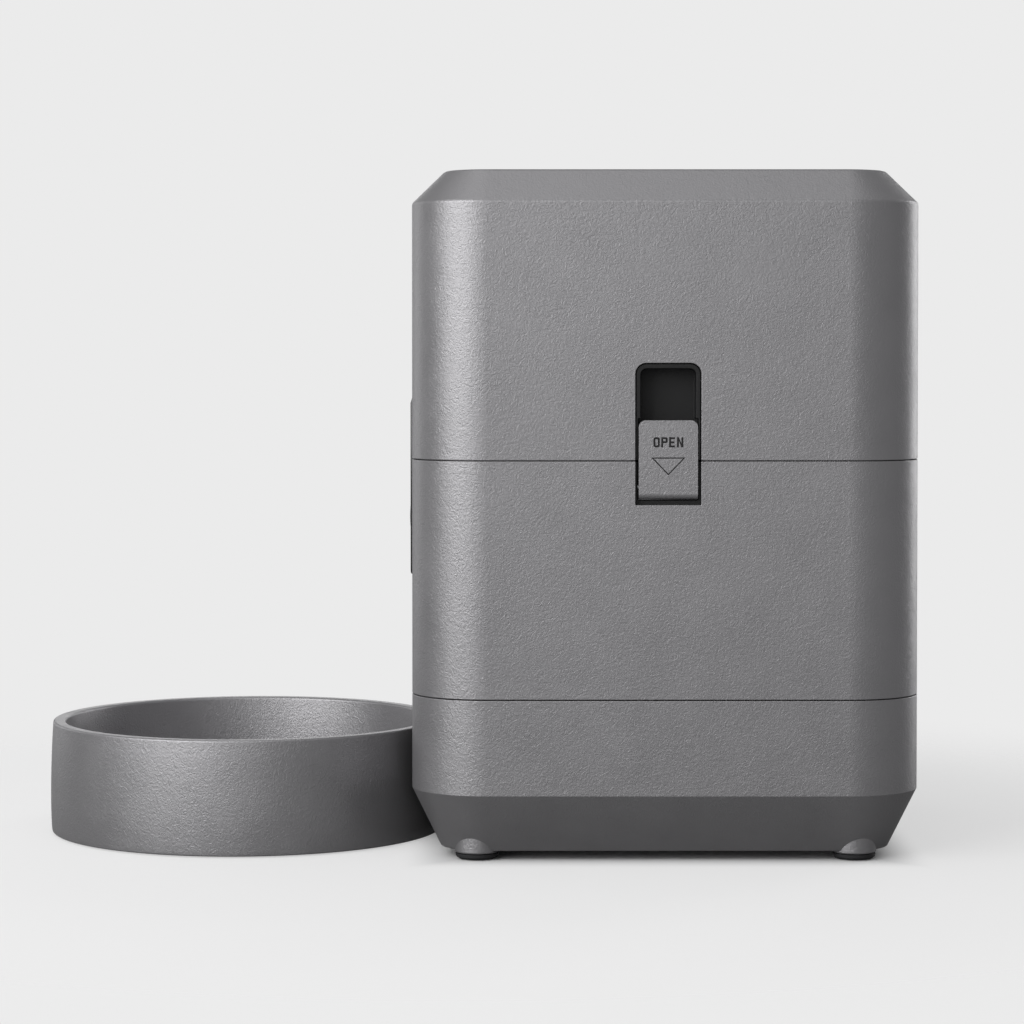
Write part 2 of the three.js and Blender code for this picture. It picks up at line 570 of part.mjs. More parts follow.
/** A tactile switch on the panel board, under a button's stem. */
function panelSwitch({ z }) {
  const stemEnd = PANEL.skin + GAP + 1.8;
  const top = stemEnd + BUTTON_TRAVEL + GAP - PANEL.front;
  const seat = -PANEL_BOARD.front - GAP;
  return join(box(-3, 3, top + 0.8, seat, z - 3, z + 3), cylinderY(1.6, top, seat, 0, z, 12));
}

/** Everything on the front panel. */
function controlPanel() {
  const group = new THREE.Group();
  const { half, low, high, front, back, skin } = PANEL;
  const { inset } = PANEL_BOARD;
  const boardHalf = PANEL_BOARD.half;
  const paneBack = WINDOW.thickness - front;
  const displayLow = WINDOW.low - 1.2;
  const displayHigh = WINDOW.high + 1.2;
  const seat = PANEL_BOARD.front + GAP;
  const guide = front - seat;
  const windowPane = box(-WINDOW.half, WINDOW.half, -front, paneBack, WINDOW.low, WINDOW.high);
  const display = box(-22, 22, skin + GAP - front, -seat, displayLow, displayHigh);
  const lens = frontLathe([[0, -0.2], [LENS.radius * 0.6, -0.15], [LENS.radius - 0.3, 0], [LENS.radius, 0.3],
    [LENS.radius, guide], [0, guide]], LENS.z, 16);
  const board = box(-boardHalf, boardHalf, -PANEL_BOARD.front, -PANEL_BOARD.back, low + inset, high - inset);
  const backing = box(-half, half, GAP - back, 2.3 - back, low, high);
  group.add(piece("panel_bezel", panelBezel(), GLOSS_BLACK));
  group.add(piece("display_window", windowPane, GLOSS_BLACK));
  group.add(piece("display_module", display, BLACK_PLASTIC));
  group.add(piece("status_lens", lens, CLEAR_AMBER));
  group.add(piece("set_button", pushButton(SET_BUTTON), BLACK_PLASTIC));
  group.add(piece("feed_button", pushButton(FEED_BUTTON), BLACK_PLASTIC));
  group.add(piece("set_switch", panelSwitch(SET_BUTTON), BLACK_PLASTIC));
  group.add(piece("feed_switch", panelSwitch(FEED_BUTTON), BLACK_PLASTIC));
  group.add(piece("panel_board", board, CIRCUIT_GREEN));
  group.add(piece("panel_backing", backing, BLACK_PLASTIC));
  return group;
}

// ---------------------------------------------------------------- hopper and measuring rotor

/** The food hopper: square walls, a funnel, and a round hole over the rotor. */
function hopper() {
  const { half, corner, wall, low, high, funnel } = HOPPER;
  const beyond = 60;
  const outer = chamferedBlock(half, corner, low, high + beyond, funnel);
  const inner = chamferedBlock(half - wall, corner - wall, low + wall, high + beyond, funnel);
  const hole = cylinderZ(ROTOR.rim, low - 1, low + wall + 1, 0, 0, 48);
  return cut(outer, inner, hole, slab(high, high + 2 * beyond));
}

/** The deck across the casing, with the measuring chamber's wall standing on it. */
function rotorDeck() {
  const outline = roundedRect(DECK.half, DECK.half, BODY.corner - (BODY.half - DECK.half));
  const plate = prism(outline, DECK.low, DECK.high);
  const wall = cylinderZ(CHAMBER.outer, DECK.high - 1, CHAMBER.top, 0, 0, 48);
  const inside = cylinderZ(CHAMBER.inner, DECK.high, CHAMBER.top + 1, 0, 0, 48);
  const below = DECK.low - 1;
  const outlet = box(-OUTLET.half, OUTLET.half, OUTLET.front, OUTLET.back, below, DECK.high + 1);
  const bore = cylinderZ(BORE_RADIUS, below, DECK.high + 1, 0, 0, 24);
  const panelRoom = box(-PANEL.half - 4, PANEL.half + 4, -OUTSIDE, -99, below, DECK.high + 1);
  return cut(join(plate, wall), inside, outlet, bore, panelRoom);
}

/** The measuring rotor: a rim and a hub joined by vanes, with pockets open above and below. */
function rotor() {
  const shape = new THREE.Shape(circlePath(ROTOR.radius, 72).getPoints());
  const step = (2 * Math.PI) / ROTOR.pockets;
  for (let i = 0; i < ROTOR.pockets; i += 1) {
    const middle = -Math.PI / 2 + i * step;
    shape.holes.push(new THREE.Path(sectorPoints(ROTOR.hub, ROTOR.rim, middle, step / 2, ROTOR.vane / 2)));
  }
  shape.holes.push(circlePath(BORE_RADIUS, 16));
  return prism(shape, ROTOR.low, ROTOR.high);
}

/** The fixed plate that keeps food from falling straight through the pocket over the outlet. */
function baffle() {
  const points = sectorPoints(BAFFLE.inner, ROTOR.radius, -Math.PI / 2, BAFFLE.halfAngle, 0, 8);
  return prism(new THREE.Shape(points), ROTOR.high + BAFFLE.clearance, HOPPER.low - GAP);
}

/** The stirrer above the rotor, which keeps dry food from bridging. */
function stirrer() {
  const { low } = STIRRER;
  const hub = cylinderZ(STIRRER.hub, low, STIRRER.hubTop, 0, 0, 20);
  const arm = box(-STIRRER.arm, STIRRER.arm, -3, 3, low, STIRRER.armTop);
  const prongs = [-50, -28, 28, 50].map((x) => box(x - 2, x + 2, -2, 2, low + 3, STIRRER.prongTop));
  return cut(join(hub, arm, ...prongs), cylinderZ(BORE_RADIUS, low - 1, STIRRER.prongTop, 0, 0, 16));
}

/** The slide that carries food from the deck's outlet to the mouth above the bowl. */
function chute() {
  const top = DECK.low - GAP;
  const front = -BODY.half + 0.4;
  const back = OUTLET.back + 5;
  const { half, wall, mouthLow, mouthHigh, flat, rise } = CHUTE;
  const ceiling = mouthHigh - wall;
  const outer = [[back, top], [front, mouthLow - wall], [front, mouthHigh], [-flat, mouthHigh], [-rise, top]];
  const inner = [[back - 3.4, top + 1], [front - 1, mouthLow], [front - 1, ceiling], [GAP - flat, ceiling],
    [-rise - 1.5, top - 2.4], [3 - rise, top - 1], [3 - rise, top + 1]];
  return sidePrism(outer, half).subtract(sidePrism(inner, half - wall));
}

/** The fixed pieces of the food path. */
function foodPath() {
  const group = new THREE.Group();
  const { left, right, front, back, low, high } = FOOD_SENSOR;
  group.add(piece("hopper", hopper(), INNER_GREY));
  group.add(piece("rotor_deck", rotorDeck(), WHITE_PLASTIC));
  group.add(piece("baffle", baffle(), WHITE_PLASTIC));
  group.add(piece("chute", chute(), BLACK_PLASTIC));
  group.add(piece("food_sensor", box(left, right, front, back, low, high), BLACK_PLASTIC));
  return group;
}

// ---------------------------------------------------------------- drive

/** The open-topped gearbox under the deck, with a post for the idler. */
function gearboxCase() {
  const { left, right, front, back, corner, low, high, wall } = GEARBOX;
  const centreX = (left + right) / 2;
  const centreY = (front + back) / 2;
  const halfX = (right - left) / 2;
  const halfY = (back - front) / 2;
  const outer = prism(roundedRect(halfX, halfY, corner, 4), low, high);
  const inner = prism(roundedRect(halfX - wall, halfY - wall, corner - wall, 4), low + wall, high + 1);
  const tray = outer.subtract(inner).translate([centreX, centreY, 0]);
  const post = cylinderZ(IDLER_POST, low + 1, high - 1.2, 0, IDLER_Y, 12);
  const shaftHole = cylinderZ(BORE_RADIUS, low - 1, low + 3, 0, 0, 16);
  const motorHole = cylinderZ(2, low - 1, low + 3, MOTOR_X, IDLER_Y, 12);
  return cut(join(tray, post), shaftHole, motorHole);
}

/** The idler: a small and a large gear in one moulding. */
function idlerGear() {
  const bore = IDLER_POST + GAP;
  const halfTooth = Math.PI / GEAR.smallTeeth;
  const small = prism(gearShape(GEAR.smallTeeth, bore, halfTooth), LOWER_MESH.low, UPPER_MESH.low + 1);
  const large = prism(gearShape(GEAR.largeTeeth, bore, 0), UPPER_MESH.low, UPPER_MESH.high);
  return join(small, large).translate([0, IDLER_Y, 0]);
}

/** The motor's pinion with the end of its shaft. */
function motorPinion() {
  const halfTooth = Math.PI / GEAR.pinionTeeth;
  const teeth = gearShape(GEAR.pinionTeeth, MOTOR.shaft / 2, halfTooth);
  const pinion = prism(teeth, UPPER_MESH.low, UPPER_MESH.high);
  const shaft = cylinderZ(MOTOR.shaft, MOTOR.shaftLow, UPPER_MESH.high + 1, 0, 0, 12);
  return join(pinion, shaft).translate([MOTOR_X, IDLER_Y, 0]);
}

/** Gearbox, motor and gears. */
function drive() {
  const group = new THREE.Group();
  const motor = cylinderZ(MOTOR.radius, MOTOR.low, MOTOR.high, MOTOR_X, IDLER_Y, 24)
    .subtract(cylinderZ(MOTOR.shaft + GAP, MOTOR.shaftLow - 1, MOTOR.high + 1, MOTOR_X, IDLER_Y, 12));
  const outputTeeth = gearShape(GEAR.outputTeeth, BORE_RADIUS, Math.PI / 2);
  group.add(piece("gearbox_case", gearboxCase(), WHITE_PLASTIC));
  group.add(piece("gear_motor", motor, STEEL));
  group.add(piece("motor_pinion", motorPinion(), STEEL));
  group.add(piece("idler_gear", idlerGear(), WHITE_PLASTIC));
  group.add(piece("output_gear", prism(outputTeeth, LOWER_MESH.low, LOWER_MESH.high), WHITE_PLASTIC));
  group.add(piece("output_shaft", cylinderZ(SHAFT.radius, SHAFT.low, SHAFT.high, 0, 0, 16), STEEL));
  group.add(piece("rotor", rotor(), WHITE_PLASTIC));
  group.add(piece("stirrer", stirrer(), INNER_GREY));
  return group;
}

// ---------------------------------------------------------------- electrics

/** A dry cell lying along y, with its positive cap towards the back. */
function dryCell() {
  const { radius, length } = CELL;
  const profile = [[0, 0], [radius - 1, 0], [radius, 1], [radius, length - 1], [radius - 1, length],
    [4.5, length], [4.5, length + 1.6], [0, length + 1.6]];
  return solid(new THREE.LatheGeometry(profile.map(([r, y]) => new THREE.Vector2(r, y)), 20));
}

/** The power socket in the back wall: a flanged barrel with its centre contact. */
function powerSocket() {
  const { x, z, front, flange } = SOCKET;
  const block = box(x - 8, x + 8, front, flange, z - 7, z + 7);
  const barrel = cylinderY(SOCKET.barrel, front, BODY.half - 0.1, x, z, 20);
  const bore = cylinderY(SOCKET.bore, front + 3, OUTSIDE, x, z, 16);
  const contact = cylinderY(SOCKET.contact, front + 1, BODY.half - 1.5, x, z, 8);
  return cut(join(block, barrel), bore).add(contact);
}

/** One of the bay's two contact plates, given by its front face. */
function contactPlate(front) {
  return box(-CONTACT.half, CONTACT.half, front, front + CONTACT.thickness, CONTACT.low, CONTACT.high);
}

/** The speaker: a shallow frame with its magnet in front. */
function speaker() {
  const { x, z, frame, magnet, front, middle, back } = SPEAKER;
  return join(cylinderY(frame, middle, back, x, z, 24), cylinderY(magnet, front, middle + 0.4, x, z, 20));
}

/** Cells, contacts, boards, speaker and socket. */
function electrics() {
  const group = new THREE.Group();
  [-1, 0, 1].forEach((i, n) => {
    const cell = piece("battery_" + (n + 1), dryCell(), CELL_WRAP);
    cell.position.set(i * CELL.pitch, CELL.front, CELL.z);
    group.add(cell);
  });
  const { left, right, front, thickness, low, high } = MAIN_BOARD;
  group.add(piece("battery_contact_front", contactPlate(CONTACT.front), STEEL));
  group.add(piece("battery_contact_back", contactPlate(CONTACT.back), STEEL));
  group.add(piece("main_board", box(left, right, front, front + thickness, low, high), CIRCUIT_GREEN));
  group.add(piece("speaker", speaker(), BLACK_PLASTIC));
  group.add(piece("power_socket", powerSocket(), BLACK_PLASTIC));
  return group;
}

// ---------------------------------------------------------------- lid side and fasteners

/** The drying agent box: a shallow tray with slots in its floor. */
function drierBox() {
  const { x, y, wall, low, high } = DRIER;
  const { count, pitch, width, half } = DRIER_SLOTS;
  const hollow = box(wall - x, x - wall, wall - y, y - wall, low + wall, high + 1);
  const cutters = [];
  for (let i = 0; i < count; i += 1) {
    const middle = (i - (count - 1) / 2) * pitch;
    cutters.push(box(middle - width / 2, middle + width / 2, -half, half, low - 1, low + 5));
  }
  return cut(box(-x, x, -y, y, low, high), hollow, ...cutters);
}

/** What is fixed under the cover's roof. */
function lidSide() {
  const group = new THREE.Group();
  const plate = prism(roundedRect(LID.half, LID.half, LID.corner, 6), LID.low, LID.high);
  const ring = roundedRect(SEAL.outer, SEAL.outer, SEAL.corner, 6);
  ring.holes.push(roundedRect(SEAL.inner, SEAL.inner, SEAL.corner - (SEAL.outer - SEAL.inner), 6));
  group.add(piece("lid_plate", plate, WHITE_PLASTIC));
  group.add(piece("lid_seal", prism(ring, SEAL.low, SEAL.high), SILICONE));
  group.add(piece("drier_box", drierBox(), WHITE_PLASTIC));
  return group;
}

/** A pan head screw standing on its head, shank up. */
function screw({ head, headHeight, tip }, shank, seat) {
  const low = seat - headHeight;
  const socket = cylinderZ(head * 0.4, low - 1, low + headHeight * 0.5, 0, 0, 6);
  return lathe([[0, low], [head - 0.5, low], [head, low + 0.6], [head, seat], [shank, seat],
    [shank, tip - 1], [0, tip]], 8).subtract(socket);
}

/** Feet, door, and the screws of the case and the door. */
function underside() {
  const group = new THREE.Group();
  const corners = [["front_right", 1, -1], ["back_right", 1, 1], ["back_left", -1, 1],
    ["front_left", -1, -1]];
  for (const [place, sx, sy] of corners) {
    const foot = piece("foot_" + place, footPad(), RUBBER);
    foot.position.set(sx * FOOT.x, sy * FOOT.y, 0);
    const caseScrew = screw(CASE_SCREW, CASE_SCREW.shank, CASE_SCREW.seat - GAP);
    const fastener = piece("case_screw_" + place, caseScrew, STEEL);
    fastener.position.set(sx * CASE_SCREW.x, sy * CASE_SCREW.y, 0);
    group.add(foot, fastener);
  }
  for (const [place, side] of [["right", 1], ["left", -1]]) {
    const fastener = piece("door_screw_" + place, screw(DOOR_SCREW, PIN_RADIUS, BODY.bottom - GAP), STEEL);
    fastener.position.set(side * DOOR.screwX, DOOR.back - DOOR.screwInset, 0);
    group.add(fastener);
  }
  group.add(piece("battery_door", batteryDoor(), GREY_SHELL));
  return group;
}

// ---------------------------------------------------------------- bowl

/** The bowl: a faintly bellied wall, a round rim and a flat inner floor. */
function bowl() {
  const { belly, rim, foot, height, mouth, floor } = BOWL;
  const under = BOWL_RING.height + GAP;
  const seat = BOWL_RING.inner - 1;
  const beside = BOWL_RING.outer + 0.6;
  return lathe([[0, under + 1.6], [seat, under + 1.6], [seat, under], [beside, under], [beside, GAP],
    [foot - 0.6, GAP], [foot, 1.2], [belly, 14], [rim + 0.3, 42], [rim, height - 2.2], [rim - 2, height],
    [mouth + 1.6, height], [mouth, height - 1.6], [mouth - 3, floor + 10], [mouth - 7, floor + 3],
    [mouth - 13, floor + 0.4], [0, floor]], 56);
}

/** The bowl and the soft ring that it stands on. */
function bowlSet() {
  const group = new THREE.Group();
  const { inner, outer, height } = BOWL_RING;
  const ring = lathe([[inner, 0], [outer, 0], [outer, height], [inner, height], [inner, 0]], 48);
  group.add(piece("bowl", bowl(), GREY_SHELL));
  group.add(piece("bowl_grip_ring", ring, RUBBER));
  return group;
}

// ---------------------------------------------------------------- assembly

const feeder = new THREE.Group();
feeder.add(piece("top_cover", topCover(), GREY_SHELL));
feeder.add(piece("main_housing", mainHousing(), GREY_SHELL));
feeder.add(piece("base_housing", baseHousing(), GREY_SHELL));
feeder.add(lidSide(), foodPath(), drive(), electrics(), controlPanel(), underside());

const rightLatch = latchSet("right");
const leftLatch = latchSet("left");
leftLatch.rotation.z = Math.PI;
feeder.add(rightLatch, leftLatch);

const dish = bowlSet();
const middleOfSet = (BOWL.distance + BOWL.belly - BODY.half) / 2;
feeder.position.y = middleOfSet;
dish.position.y = middleOfSet - BOWL.distance;

const petFeeder = new THREE.Group();
petFeeder.add(feeder, dish);

export default petFeeder;
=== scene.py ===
"""The looks of an automatic pet feeder, built around its packed mechanical frame.

Shapes are drawn in millimetres in the feeder's own frame (origin on the floor under the tower,
-Y towards the bowl, +X towards the right-hand latch) and settled into the row frame in metres.
"""

import logging
import math
from collections.abc import Iterable, Sequence
from dataclasses import dataclass
from enum import Enum
from typing import Any

import bmesh
import bpy
from mathutils import Matrix, Vector


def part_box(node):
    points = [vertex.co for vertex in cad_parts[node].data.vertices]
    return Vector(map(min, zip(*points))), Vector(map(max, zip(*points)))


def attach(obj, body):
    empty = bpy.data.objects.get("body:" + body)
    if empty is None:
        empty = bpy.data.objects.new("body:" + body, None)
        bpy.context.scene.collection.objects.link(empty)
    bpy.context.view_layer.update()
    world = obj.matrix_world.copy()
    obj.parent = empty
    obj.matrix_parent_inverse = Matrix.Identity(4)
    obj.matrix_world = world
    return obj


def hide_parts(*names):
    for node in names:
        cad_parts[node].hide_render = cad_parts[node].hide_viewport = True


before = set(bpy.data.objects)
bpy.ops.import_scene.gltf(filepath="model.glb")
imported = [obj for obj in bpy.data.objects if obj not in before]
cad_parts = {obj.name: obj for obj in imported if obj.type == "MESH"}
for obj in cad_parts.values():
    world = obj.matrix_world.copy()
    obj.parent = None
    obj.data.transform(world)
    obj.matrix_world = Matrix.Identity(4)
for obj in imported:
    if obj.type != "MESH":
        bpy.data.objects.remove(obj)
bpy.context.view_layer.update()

LOG = logging.getLogger("pet_feeder")
MM = 0.001
SHARP = math.radians(38)

Point = tuple[float, float]
Corner = tuple[float, float, float]
Ring = list[Vector]
BMesh = bmesh.types.BMesh
Object = bpy.types.Object
Tree = bpy.types.NodeTree
Socket = bpy.types.NodeSocket


# ---- names


class Slot(Enum):
    """The record's material slots."""

    SHELL = "shell_grey"
    GLOSS = "gloss_black"
    BLACK = "black_plastic"
    WHITE = "white_plastic"
    INNER = "inner_grey"
    BOARD = "circuit_board"
    WRAP = "cell_wrap"
    RUBBER = "rubber"
    SILICONE = "silicone"
    LENS = "lens"
    STEEL = "steel"


class Side(Enum):
    """The tower's two latch sides, with the half turn that takes one to the other."""

    RIGHT = 0.0
    LEFT = math.pi

    @property
    def word(self) -> str:
        """The side's name as used in node names."""
        return self.name.lower()


# ---- shader nodes


def linear(colour: str) -> tuple[float, float, float, float]:
    """Turns an sRGB hex colour, with or without a leading #, into linear RGBA."""
    digits = colour.lstrip("#")
    channels = [int(digits[i : i + 2], 16) / 255 for i in (0, 2, 4)]
    curve = [c / 12.92 if c <= 0.04045 else ((c + 0.055) / 1.055) ** 2.4 for c in channels]
    return (curve[0], curve[1], curve[2], 1.0)


def add_node(tree: Tree, kind: str, inputs: dict[Any, Any] | None = None, **settings: Any) -> Any:
    """Adds a node of a kind with its settings, and fills its inputs or links sockets to them."""
    made = tree.nodes.new(kind)
    for key, value in settings.items():
        setattr(made, key, value)
    for key, value in (inputs or {}).items():
        socket = made.inputs[key]
        if isinstance(value, Socket):
            tree.links.new(value, socket)
        else:
            socket.default_value = value
    return made


def out(tree: Tree, kind: str, inputs: dict[Any, Any] | None = None, **settings: Any) -> Socket:
    """Adds a node and returns its first output."""
    return add_node(tree, kind, inputs, **settings).outputs[0]


def noise(tree: Tree, place: Socket, size_mm: float, **inputs: float) -> Socket:
    """Noise with features about so many millimetres wide."""
    given = {"Vector": place, "Scale": 1 / (size_mm * MM), **inputs}
    return add_node(tree, "ShaderNodeTexNoise", given).outputs["Fac"]


def blend(tree: Tree, share: Socket, first: Sequence[float], second: Sequence[float]) -> Socket:
    """A colour between two others."""
    given = {0: share, 6: first, 7: second}
    return add_node(tree, "ShaderNodeMix", given, data_type="RGBA").outputs[2]


def spread(
    tree: Tree, value: Socket, source: Point, result: Point = (0.0, 1.0), **settings: str
) -> Socket:
    """A value carried from one range to another."""
    given = {"Value": value, "From Min": source[0], "From Max": source[1],
             "To Min": result[0], "To Max": result[1]}
    return out(tree, "ShaderNodeMapRange", given, **settings)


def maths(tree: Tree, operation: str, first: Any, second: Any) -> Socket:
    """A sum of two values."""
    return out(tree, "ShaderNodeMath", {0: first, 1: second}, operation=operation)


def relief(tree: Tree, height: Socket, depth_mm: float, strength: float = 1.0) -> Socket:
    """A surface normal bent by a height."""
    given = {"Height": height, "Strength": strength, "Distance": depth_mm * MM}
    return out(tree, "ShaderNodeBump", given)


def new_surface(name: str) -> tuple[bpy.types.Material, Tree, Socket]:
    """An empty material, its tree, and the object coordinates its pattern lies on."""
    material = bpy.data.materials.new(name)
    material.use_nodes = True
    tree = material.node_tree
    tree.nodes.clear()
    return material, tree, add_node(tree, "ShaderNodeTexCoord").outputs["Object"]


# ---- finishes


@dataclass(frozen=True)
class Finish:
    """A surface finish: a name, and what its one shader is given."""

    name: str

    def inputs(self, tree: Tree, place: Socket) -> dict[str, Any]:
        """The shader's inputs, with the nodes that feed them."""
        raise NotImplementedError

    def build(self) -> bpy.types.Material:
        """Makes the material."""
        material, tree, place = new_surface(self.name)
        shader = out(tree, "ShaderNodeBsdfPrincipled", self.inputs(tree, place))
        add_node(tree, "ShaderNodeOutputMaterial", {"Surface": shader})
        return material


@dataclass(frozen=True)
class Moulded(Finish):
    """Injection-moulded plastic with an eroded grain, such as ABS or polypropylene.

    The grain breaks the highlight up softly, and slow mottling keeps a broad wall from looking
    flat.
    """

    colour: str
    roughness: float
    metallic: float = 0.0
    ior: float = 1.5
    grain_mm: float = 0.9
    grain_depth_mm: float = 0.02
    grain_curl: float = 1.8
    mottle_mm: float = 30.0
    mottle: float = 0.04
    roughness_swing: float = 0.03
    coat: float = 0.0
    coat_roughness: float = 0.05

    def inputs(self, tree: Tree, place: Socket) -> dict[str, Any]:
        """Mottled colour and roughness over a grained normal."""
        slow = noise(tree, place, self.mottle_mm, Detail=3.0, Roughness=0.55)
        grain = noise(tree, place, self.grain_mm, Distortion=self.grain_curl)
        base = linear(self.colour)[:3]
        dark, light = (
            tuple(min(1.0, c * (1 + way * self.mottle)) for c in base) + (1.0,) for way in (-1, 1)
        )
        swing = (self.roughness - self.roughness_swing, self.roughness + self.roughness_swing)
        return {
            "Base Color": blend(tree, slow, dark, light),
            "Roughness": spread(tree, slow, (0.3, 0.7), swing),
            "Metallic": self.metallic,
            "IOR": self.ior,
            "Coat Weight": self.coat,
            "Coat Roughness": self.coat_roughness,
            "Normal": relief(tree, grain, self.grain_depth_mm),
        }


@dataclass(frozen=True)
class Turned(Finish):
    """Bare steel with fine drawn or turned lines, which stretch its highlight along one way."""

    colour: str
    roughness: float
    line_mm: float = 0.35
    line_depth_mm: float = 0.006
    stretch: float = 14.0

    def inputs(self, tree: Tree, place: Socket) -> dict[str, Any]:
        """Lines in the roughness and the normal."""
        given = {"Vector": place, "Scale": (1.0, 1.0, self.stretch)}
        stretched = out(tree, "ShaderNodeMapping", given)
        lines = noise(tree, stretched, self.line_mm * self.stretch)
        swing = (self.roughness - 0.06, self.roughness + 0.08)
        return {
            "Base Color": linear(self.colour),
            "Metallic": 1.0,
            "Roughness": spread(tree, lines, (0.0, 1.0), swing),
            "Normal": relief(tree, lines, self.line_depth_mm),
        }


@dataclass(frozen=True)
class SolderMask(Finish):
    """Circuit board lacquer over etched copper: glossy green with slightly lighter tracks."""

    mask: str
    track: str
    pitch_mm: float = 2.54
    copper_mm: float = 0.035

    def inputs(self, tree: Tree, place: Socket) -> dict[str, Any]:
        """Square tracks that stand a little proud under the lacquer."""
        given = {"Vector": place, "Scale": 1 / (self.pitch_mm * 2 * MM)}
        cells = out(tree, "ShaderNodeTexVoronoi", given, distance="MANHATTAN", feature="F2")
        tracks = spread(tree, cells, (0.7, 0.74))
        return {
            "Base Color": blend(tree, tracks, linear(self.mask), linear(self.track)),
            "Roughness": 0.3,
            "Normal": relief(tree, tracks, self.copper_mm, 0.6),
        }


@dataclass(frozen=True)
class Sleeve(Finish):
    """A dry cell's shrink sleeve: a dark body with a copper-coloured band at its positive end."""

    body: str
    band: str
    band_from_mm: float
    crinkle_mm: float = 6.0

    def inputs(self, tree: Tree, place: Socket) -> dict[str, Any]:
        """The band past its edge, and a slight crinkle."""
        along = add_node(tree, "ShaderNodeSeparateXYZ", {0: place}).outputs["Y"]
        past = maths(tree, "GREATER_THAN", along, self.band_from_mm * MM)
        crinkle = noise(tree, place, self.crinkle_mm)
        return {
            "Base Color": blend(tree, past, linear(self.body), linear(self.band)),
            "Metallic": past,
            "Roughness": 0.28,
            "Normal": relief(tree, crinkle, 0.05, 0.5),
        }


class Paintbox:
    """Every finish of the feeder, each made once and looked up by its slot."""

    FINISHES: dict[Slot, Finish] = {
        # Satin grey ABS with a metallic pigment: the highlight spreads far down a wall, and the
        # grain is drawn at 2 mm, coarser than the real one, so that it shows.
        Slot.SHELL: Moulded(
            "abs_satin_grey", "#919092", 0.43, metallic=0.75, grain_mm=2.0, grain_depth_mm=0.16,
            mottle_mm=22.0, mottle=0.08,
        ),
        # Polished black ABS under a clear hard coat: dark, with sharp reflections.
        Slot.GLOSS: Moulded(
            "abs_piano_black", "#0c0d0f", 0.12, ior=1.52, grain_mm=3.0, grain_depth_mm=0.002,
            mottle_mm=40.0, mottle=0.02, coat=0.6,
        ),
        # Fine-grained black ABS of pockets and buttons, also used for the painted shade in the
        # latch marks: it stays near black at every angle.
        Slot.BLACK: Moulded(
            "abs_matt_black", "#121213", 0.6, ior=1.42, grain_mm=0.8, grain_depth_mm=0.015,
            mottle_mm=20.0, mottle=0.06,
        ),
        # Natural white polypropylene and acetal: waxy, with a soft broad highlight.
        Slot.WHITE: Moulded(
            "acetal_natural_white", "#dedcd6", 0.38, ior=1.48, grain_mm=1.4, grain_depth_mm=0.01,
            mottle_mm=18.0, mottle=0.02,
        ),
        # Mid-grey polypropylene of the food hopper: slightly cloudy.
        Slot.INNER: Moulded(
            "polypropylene_mid_grey", "#63656a", 0.46, ior=1.49, grain_mm=1.2,
            grain_depth_mm=0.015, mottle_mm=24.0, mottle=0.05,
        ),
        # Epoxy glass board: the lacquer's gloss tells it from the plastics around it.
        Slot.BOARD: SolderMask("fr4_green_solder_mask", "#14492f", "#1f6a45"),
        # Printed shrink film of dry cells: the copper band marks the positive end.
        Slot.WRAP: Sleeve("shrink_sleeve_dark_and_copper", "#22262c", "#b0764a", 106.0),
        # Vulcanised black rubber: dull, with a powdery bloom.
        Slot.RUBBER: Moulded(
            "nitrile_rubber_black", "#1d1d1f", 0.72, ior=1.52, grain_mm=0.7, mottle_mm=12.0,
            mottle=0.1,
        ),
        # Milky silicone of the lid seal: soft and matt, a little darker than the white plate.
        Slot.SILICONE: Moulded(
            "silicone_milky_white", "#cfcfca", 0.5, ior=1.41, grain_mm=1.0, grain_depth_mm=0.01,
            mottle_mm=15.0, mottle=0.03,
        ),
        # Amber-smoked polycarbonate light guide: a small glint on the dark panel.
        Slot.LENS: Moulded(
            "polycarbonate_smoked_amber", "#5a4526", 0.08, ior=1.58, grain_mm=4.0,
            grain_depth_mm=0.001, mottle_mm=9.0, mottle=0.05, coat=0.5,
        ),
        # Zinc-plated steel of screws, pins and shafts: bright streaks along the turning lines.
        Slot.STEEL: Turned("steel_zinc_plated", "#b4b6b9", 0.28),
    }

    def __init__(self) -> None:
        """Builds every material."""
        self._made = {slot: finish.build() for slot, finish in self.FINISHES.items()}

    def __getitem__(self, slot: Slot) -> bpy.types.Material:
        """The material of a slot."""
        return self._made[slot]


# ---- outlines


def fillet(corners: Sequence[Corner], steps: int = 4, closed: bool = False) -> list[Point]:
    """A path whose (x, y, radius) corners are rounded in so many steps; 0 leaves one sharp."""
    path: list[Point] = []
    last = len(corners) - 1
    for i, (x, y, radius) in enumerate(corners):
        at_end = not closed and i in (0, last)
        if radius <= 0 or at_end:
            path.append((x, y))
            continue
        here = Vector((x, y))
        back = (Vector(corners[i - 1][:2]) - here).normalized()
        on = (Vector(corners[(i + 1) % len(corners)][:2]) - here).normalized()
        half_angle = back.angle(on) / 2
        reach = radius / math.tan(half_angle)
        centre = here + (back + on).normalized() * (radius / math.sin(half_angle))
        first, final = here + back * reach - centre, here + on * reach - centre
        sweep = math.pi - 2 * half_angle
        way = 1 if first.cross(final) > 0 else -1
        for step in range(steps + 1):
            spoke = Matrix.Rotation(way * sweep * step / steps, 2) @ first
            path.append((centre.x + spoke.x, centre.y + spoke.y))
    return path


def rounded_rect(half_x: float, half_y: float, corner: float, z: float) -> Ring:
    """A level ring round a rectangle with round corners, anticlockwise from above."""
    steps = 20
    ring: Ring = []
    for quarter in range(4):
        sx = 1 if quarter in (0, 3) else -1
        sy = 1 if quarter < 2 else -1
        for step in range(steps + 1):
            angle = (quarter + step / steps) * math.pi / 2
            x = sx * (half_x - corner) + corner * math.cos(angle)
            y = sy * (half_y - corner) + corner * math.sin(angle)
            ring.append(Vector((x, y, z)))
    return ring


